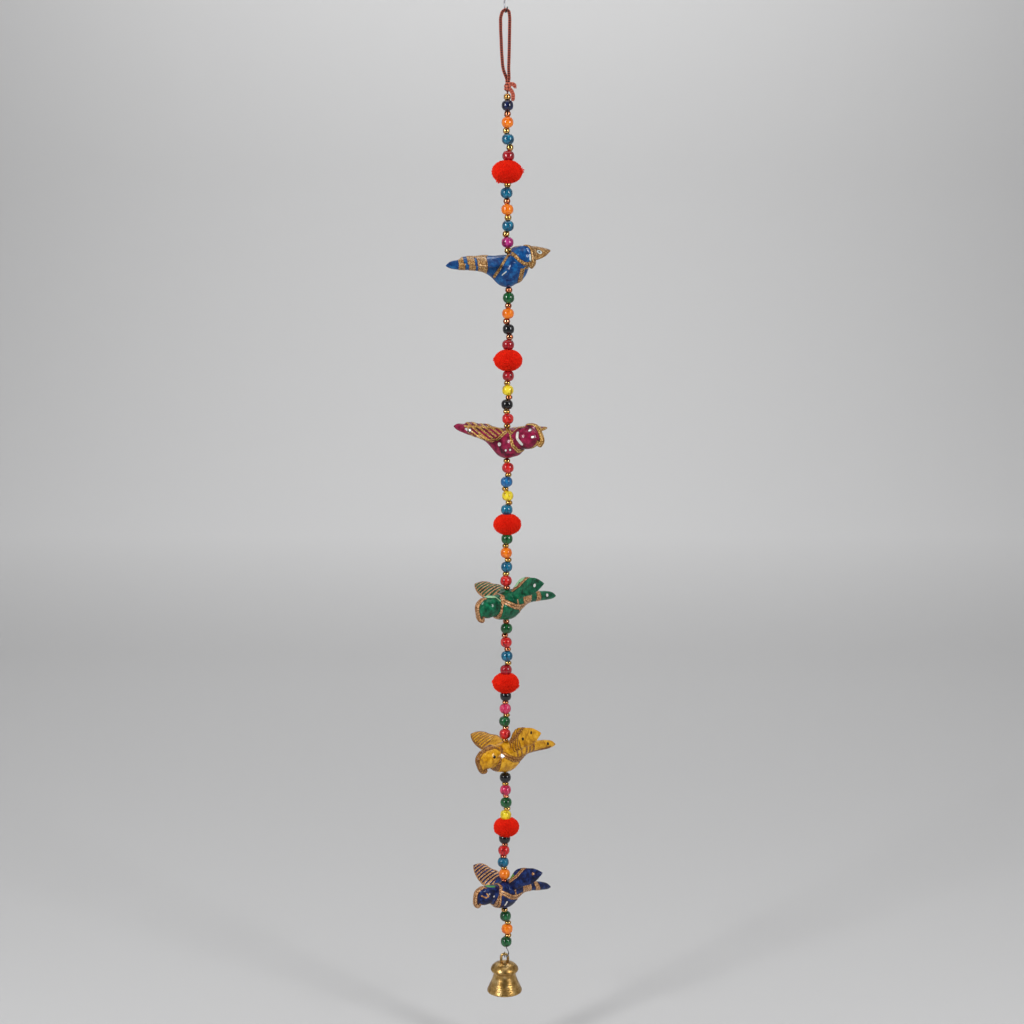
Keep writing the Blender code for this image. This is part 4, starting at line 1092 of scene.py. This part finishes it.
def painted(name, deep, mid, pale, second, outline, gild):
    """Paint, then gilding with its dark edge, dark paint and mirror, laid over each other."""
    made, tree, shader = new_material("varnished papier mache " + name, mid, 0.5, Coat_Weight=0.4,
                                      Coat_Roughness=0.12, Specular_IOR_Level=0.1)
    place = add(tree, "TexCoord").outputs["Object"]
    brush = add(tree, "TexNoise", {"Vector": place},
                {"Scale": 1000 / BRUSH_MARK, "Detail": 5.0, "Roughness": 0.62})
    fleck = add(tree, "TexNoise", {"Vector": place},
                {"Scale": 1000 / BRONZE_FLAKE, "Detail": 3.0, "Roughness": 0.7})
    colour = add(tree, "ValToRGB", {"Fac": brush.outputs["Fac"]},
                 stops=((0.34, deep), (0.5, mid), (0.68, pale)))
    bronze = add(tree, "ValToRGB", {"Fac": fleck.outputs["Fac"]},
                 stops=((0.36, gild[0]), (0.5, gild[1]), (0.64, gild[2])))
    colour, cover = colour.outputs["Color"], {}
    # field, how far its edge is moved out, and the colour that it lays down
    for key, shift, code in (("second", 0.0, second), ("gold", -0.28, outline),
                             ("gold", 0.0, None), ("dark", 0.0, "#160c08"),
                             ("mirror", -0.3, outline), ("mirror", 0.0, "#f4f2ee")):
        field = add(tree, "Attribute", attribute_name=key).outputs["Fac"]
        cover[key] = add(tree, "MapRange", {"Value": field},
                         {"From Min": shift - BLUR, "From Max": shift + BLUR},
                         interpolation_type="SMOOTHSTEP").outputs["Result"]
        links = {0: cover[key], 6: colour}
        layer = add(tree, "Mix", links if code else {**links, 7: bronze.outputs["Color"]},
                    {7: light(code)} if code else None, data_type="RGBA")
        colour = layer.outputs[2]
    tree.links.new(colour, shader.inputs["Base Color"])
    metal = add(tree, "Math", {0: cover["gold"]}, {1: 0.55}, operation="MULTIPLY")
    metal = add(tree, "Math", {0: metal.outputs[0], 1: cover["mirror"]}, operation="MAXIMUM")
    tree.links.new(metal.outputs[0], shader.inputs["Metallic"])
    grit = add(tree, "Math", {0: fleck.outputs["Fac"], 1: cover["gold"]}, operation="MULTIPLY")
    height = add(tree, "Math", {0: brush.outputs["Fac"], 1: grit.outputs[0]}, operation="ADD")
    bump = add(tree, "Bump", {"Height": height.outputs[0]}, {"Strength": 0.35, "Distance": 0.0004})
    tree.links.new(bump.outputs["Normal"], shader.inputs["Normal"])
    return made


# paint in its hollows, its body and where it is thin; second paint; outline of the gilding; gilding
PAINTS = {
    "azure": ("#042454", "#07447e", "#1c6aa2", "#c4ccc8", "#2c1a0a", BRONZE),
    "plum": ("#38041a", "#7c0c34", "#9c1c48", "#e8dccb", "#2c0c0a", WARM_GOLD),
    "emerald": ("#022a18", "#035438", "#167a52", "#98c498", "#3a1a0e", ROSE),
    "ochre": ("#966008", "#ca9010", "#e6b030", "#c07c4c", "#5c300a", OLD_GOLD),
    "indigo": ("#03061c", "#0a1744", "#1c3a7a", "#4c8a44", "#3a1a0e", ROSE),
}
print("paints:", sorted(PAINTS))

# %% Pressing the birds
VOXEL = 0.5
GILD_HEIGHT = 0.28
MIRROR_SINK = 0.15
for number, bird in enumerate(BIRDS, 1):
    shells = [trunk_shell(bird), head_shell(bird), beak_shell(bird),
              wing_shell(LEFT_WING, 1, bird["left"]), wing_shell(RIGHT_WING, -1, bird["right"])]
    points, faces = many([(to_world(bird, shell), shell_faces) for shell, shell_faces in shells])
    finish = painted(bird["paint"], *PAINTS[bird["paint"]])
    made = put_mesh(f"painted_bird_{number}", points, faces, finish)
    made.parent = None
    remesh = made.modifiers.new("skin", "REMESH")
    remesh.mode = "VOXEL"
    remesh.voxel_size = VOXEL * MM
    soften = made.modifiers.new("soften", "SMOOTH")
    soften.factor = 0.5
    soften.iterations = 6
    bpy.context.view_layer.update()
    evaluated = made.evaluated_get(bpy.context.evaluated_depsgraph_get())
    pressed = bpy.data.meshes.new_from_object(evaluated)
    made.modifiers.clear()
    made.data = pressed
    if not pressed.materials:
        pressed.materials.append(finish)
    pressed.polygons.foreach_set("use_smooth", np.full(len(pressed.polygons), True))
    skin = np.zeros(len(pressed.vertices) * 3, np.float32)
    pressed.vertices.foreach_get("co", skin)
    skin = skin.reshape(-1, 3).astype(float) / MM
    normal = np.zeros(len(skin) * 3, np.float32)
    pressed.vertex_normals.foreach_get("vector", normal)
    normal = normal.reshape(-1, 3)
    fields = paint_fields(bird, to_bird(bird, skin))
    rise = (GILD_HEIGHT * np.clip(fields[0] / 0.5 + 0.5, 0, 1)
            - MIRROR_SINK * np.clip(fields[3] / 0.4 + 0.5, 0, 1))
    pressed.vertices.foreach_set("co", ((skin + rise[:, None] * normal) * MM).astype(np.float32).ravel())
    pressed.update()
    for key, values in zip(("gold", "second", "dark", "mirror"), fields):
        attribute(made, key, np.clip(values, -5, 5))
    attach(made, "string")
    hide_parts(f"bird_{number}")
    print("bird", number, bird["paint"], len(skin), "points")

# %% [markdown]
# ## Bell, clapper, link and hook
# The bell is cast brass turned on a lathe: its section below is carried round the axis.  The
# tool leaves fine rings above the rim, and years of handling leave dark brass in the hollows
# and bright brass on the lips.

# %% Brass
def brass(name, deep, mid, pale, rough):
    """Brass with patina in patches and the lathe's fine rings."""
    made, tree, shader = new_material(name, mid, rough, 1.0)
    place = add(tree, "TexCoord").outputs["Object"]
    patina = add(tree, "TexNoise", {"Vector": place}, {"Scale": 160.0, "Detail": 5.0, "Roughness": 0.6})
    worn = add(tree, "ValToRGB", {"Fac": patina.outputs["Fac"]},
               stops=((0.34, deep), (0.52, mid), (0.7, pale)))
    tree.links.new(worn.outputs["Color"], shader.inputs["Base Color"])
    rub = add(tree, "MapRange", {"Value": patina.outputs["Fac"]},
              {"To Min": rough + 0.12, "To Max": rough - 0.08})
    tree.links.new(rub.outputs["Result"], shader.inputs["Roughness"])
    lathe = add(tree, "Mapping", {"Vector": place}, {"Scale": (0.05, 0.05, 1.0)})
    ring = add(tree, "TexNoise", {"Vector": lathe.outputs["Vector"]}, {"Scale": 1600.0, "Detail": 2.0})
    bump = add(tree, "Bump", {"Height": ring.outputs["Fac"]}, {"Strength": 0.4, "Distance": 0.0003})
    tree.links.new(bump.outputs["Normal"], shader.inputs["Normal"])
    return made


cast = brass("cast turned brass", "#8a6836", "#be985a", "#e2c690", 0.32)
dull = brass("cast brass clapper", "#4a3619", "#7d5f33", "#a88650", 0.45)
BELL_X = -0.5
BELL_RIM = 945.9
# the bell's section, outside and inside: radius and height above the rim
BELL_OUTSIDE = ((0.0, 28.6), (3.6, 28.4), (7.0, 27.5), (9.6, 26.3), (11.6, 24.6), (12.8, 22.8),
                (12.95, 21.2), (12.5, 19.8), (11.0, 18.8), (10.5, 17.4), (10.7, 15.6), (11.6, 12.8),
                (12.6, 10.0), (13.6, 7.4), (14.6, 5.0), (15.9, 2.4), (16.5, 1.0), (16.4, 0.0))
BELL_INSIDE = ((15.0, 0.0), (14.2, 2.4), (12.9, 5.2), (11.5, 8.6), (10.0, 12.2), (8.7, 16.4),
               (9.4, 19.0), (10.4, 21.6), (8.6, 24.2), (4.5, 25.7), (0.0, 25.9))
LOOP_TOP_OF_BELL = 908.6
LOOP_BAR = 2.6
LOOP_HALF = (3.2, 4.3)
RIDGE_PITCH = 1.9
BAR_HEIGHT = 22.4           # the inner bar that the clapper hangs on


def turned_profile(table, count):
    """Even points on a smooth curve through (radius, height) pairs."""
    path = smooth_path([(r, 0.0, h) for r, h in table], count)
    return np.maximum(path[:, 0], 0.02), path[:, 2]


def lathe_shell(radius, height, centre, base, sides=72):
    """Surface of revolution: radius and height carried round the vertical axis."""
    v = np.linspace(0, 2 * math.pi, sides, endpoint=False)[None, :]
    points = np.stack((centre[0] + radius[:, None] * np.cos(v), centre[1] + radius[:, None] * np.sin(v),
                       np.broadcast_to(base + height[:, None], (len(radius), sides))), -1)
    shell, faces = closed_grid(points.reshape(-1, 3), len(radius), sides)
    return shell, [f[:, ::-1] for f in faces]


def ring_shell(centre, wide, tall, bar, steps=48, sides=16, square=1.0):
    """An upright ring: a circle of the bar's radius carried round (wide |cos a|^q, tall |sin a|^q)
    with the signs of cos a and sin a; q below 1 draws the sides out straight."""
    a = np.linspace(0, 2 * math.pi, steps, endpoint=False)[:, None]
    b = np.linspace(0, 2 * math.pi, sides, endpoint=False)[None, :]
    x = np.sign(np.cos(a)) * np.abs(np.cos(a))**square
    z = np.sign(np.sin(a)) * np.abs(np.sin(a))**square
    out = np.stack((x / wide, z / tall), -1)
    out = out / np.linalg.norm(out, axis=-1, keepdims=True)
    points = np.stack((centre[0] + wide * x + bar / 2 * np.cos(b) * out[..., 0],
                       centre[1] + bar / 2 * np.sin(b) + 0 * a,
                       centre[2] + tall * z + bar / 2 * np.cos(b) * out[..., 1]), -1)
    return points.reshape(-1, 3), [grid_faces(steps, sides, wrap_rows=True)]


outer_r, outer_h = turned_profile(BELL_OUTSIDE, 120)
near_rim = np.clip(1.4 - np.abs(outer_h - 5.2) / 3.4, 0, 1)
outer_r = outer_r + 0.22 * near_rim * np.sin(outer_h * 2 * math.pi / RIDGE_PITCH)
lip = np.exp(-((outer_h - 21.6) / 0.7)**2)
outer_r = outer_r + 0.25 * lip
inner_r, inner_h = turned_profile(BELL_INSIDE, 70)
section_r, section_h = np.concatenate((outer_r, inner_r)), np.concatenate((outer_h, inner_h))
loop_middle = (BELL_X, 0.0, -LOOP_TOP_OF_BELL - LOOP_BAR / 2 - LOOP_HALF[1])
bell_parts = [lathe_shell(section_r, section_h, (BELL_X, 0.0), -BELL_RIM),
              ring_shell(loop_middle, *LOOP_HALF, LOOP_BAR, square=0.7)]
bar_path = np.column_stack((np.full(8, BELL_X), np.linspace(-9.6, 9.6, 8),
                            np.full(8, -BELL_RIM + BAR_HEIGHT)))
bell_parts.append(closed_grid(carried_rings(bar_path, 14, np.full((8, 1), 0.8), (0.0, 0.0, 1.0)), 8, 14))
points, faces = many(bell_parts)
bell = put_mesh("brass_bell", points, faces, cast, "bell")
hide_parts("bell")
print("bell", len(points), "points")

# %% Clapper
PIVOT = (BELL_X, 0.0, -BELL_RIM + BAR_HEIGHT)
drop = ((0.0, -0.9), (0.75, -1.4), (0.8, -8.0), (1.1, -10.8), (3.0, -12.4), (3.6, -14.5),
        (3.0, -16.8), (1.5, -17.9), (0.0, -18.1))
radius, height = turned_profile(drop, 50)
shell = lathe_shell(radius, height, PIVOT[:2], PIVOT[2], 32)
eye = ring_shell((PIVOT[0], 0.0, PIVOT[2] - 0.35), 2.1, 2.1, 1.3, 32, 12)
points, faces = many((shell, eye))
clapper = put_mesh("brass_clapper", points, faces, dull, "clapper")
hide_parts("clapper")
print("clapper", len(points), "points")

# %% Wires
# Bent mild steel wire, tinned and then tarnished: dark grey with brighter rubbed places
wire, tree, shader = new_material("tarnished steel wire", "#4a4a4e", 0.35, 1.0)
place = add(tree, "TexCoord").outputs["Object"]
tarnish = add(tree, "TexNoise", {"Vector": place}, {"Scale": 500.0, "Detail": 4.0})
greys = add(tree, "ValToRGB", {"Fac": tarnish.outputs["Fac"]},
            stops=((0.35, "#2c2a2b"), (0.55, "#55565a"), (0.75, "#9a9a9c")))
tree.links.new(greys.outputs["Color"], shader.inputs["Base Color"])
bump = add(tree, "Bump", {"Height": tarnish.outputs["Fac"]}, {"Strength": 0.2, "Distance": 0.0002})
tree.links.new(bump.outputs["Normal"], shader.inputs["Normal"])
for node in ("hook", "wire_link"):
    frame["nodes"][node].data.materials.clear()
    frame["nodes"][node].data.materials.append(wire)
print("wires finished")
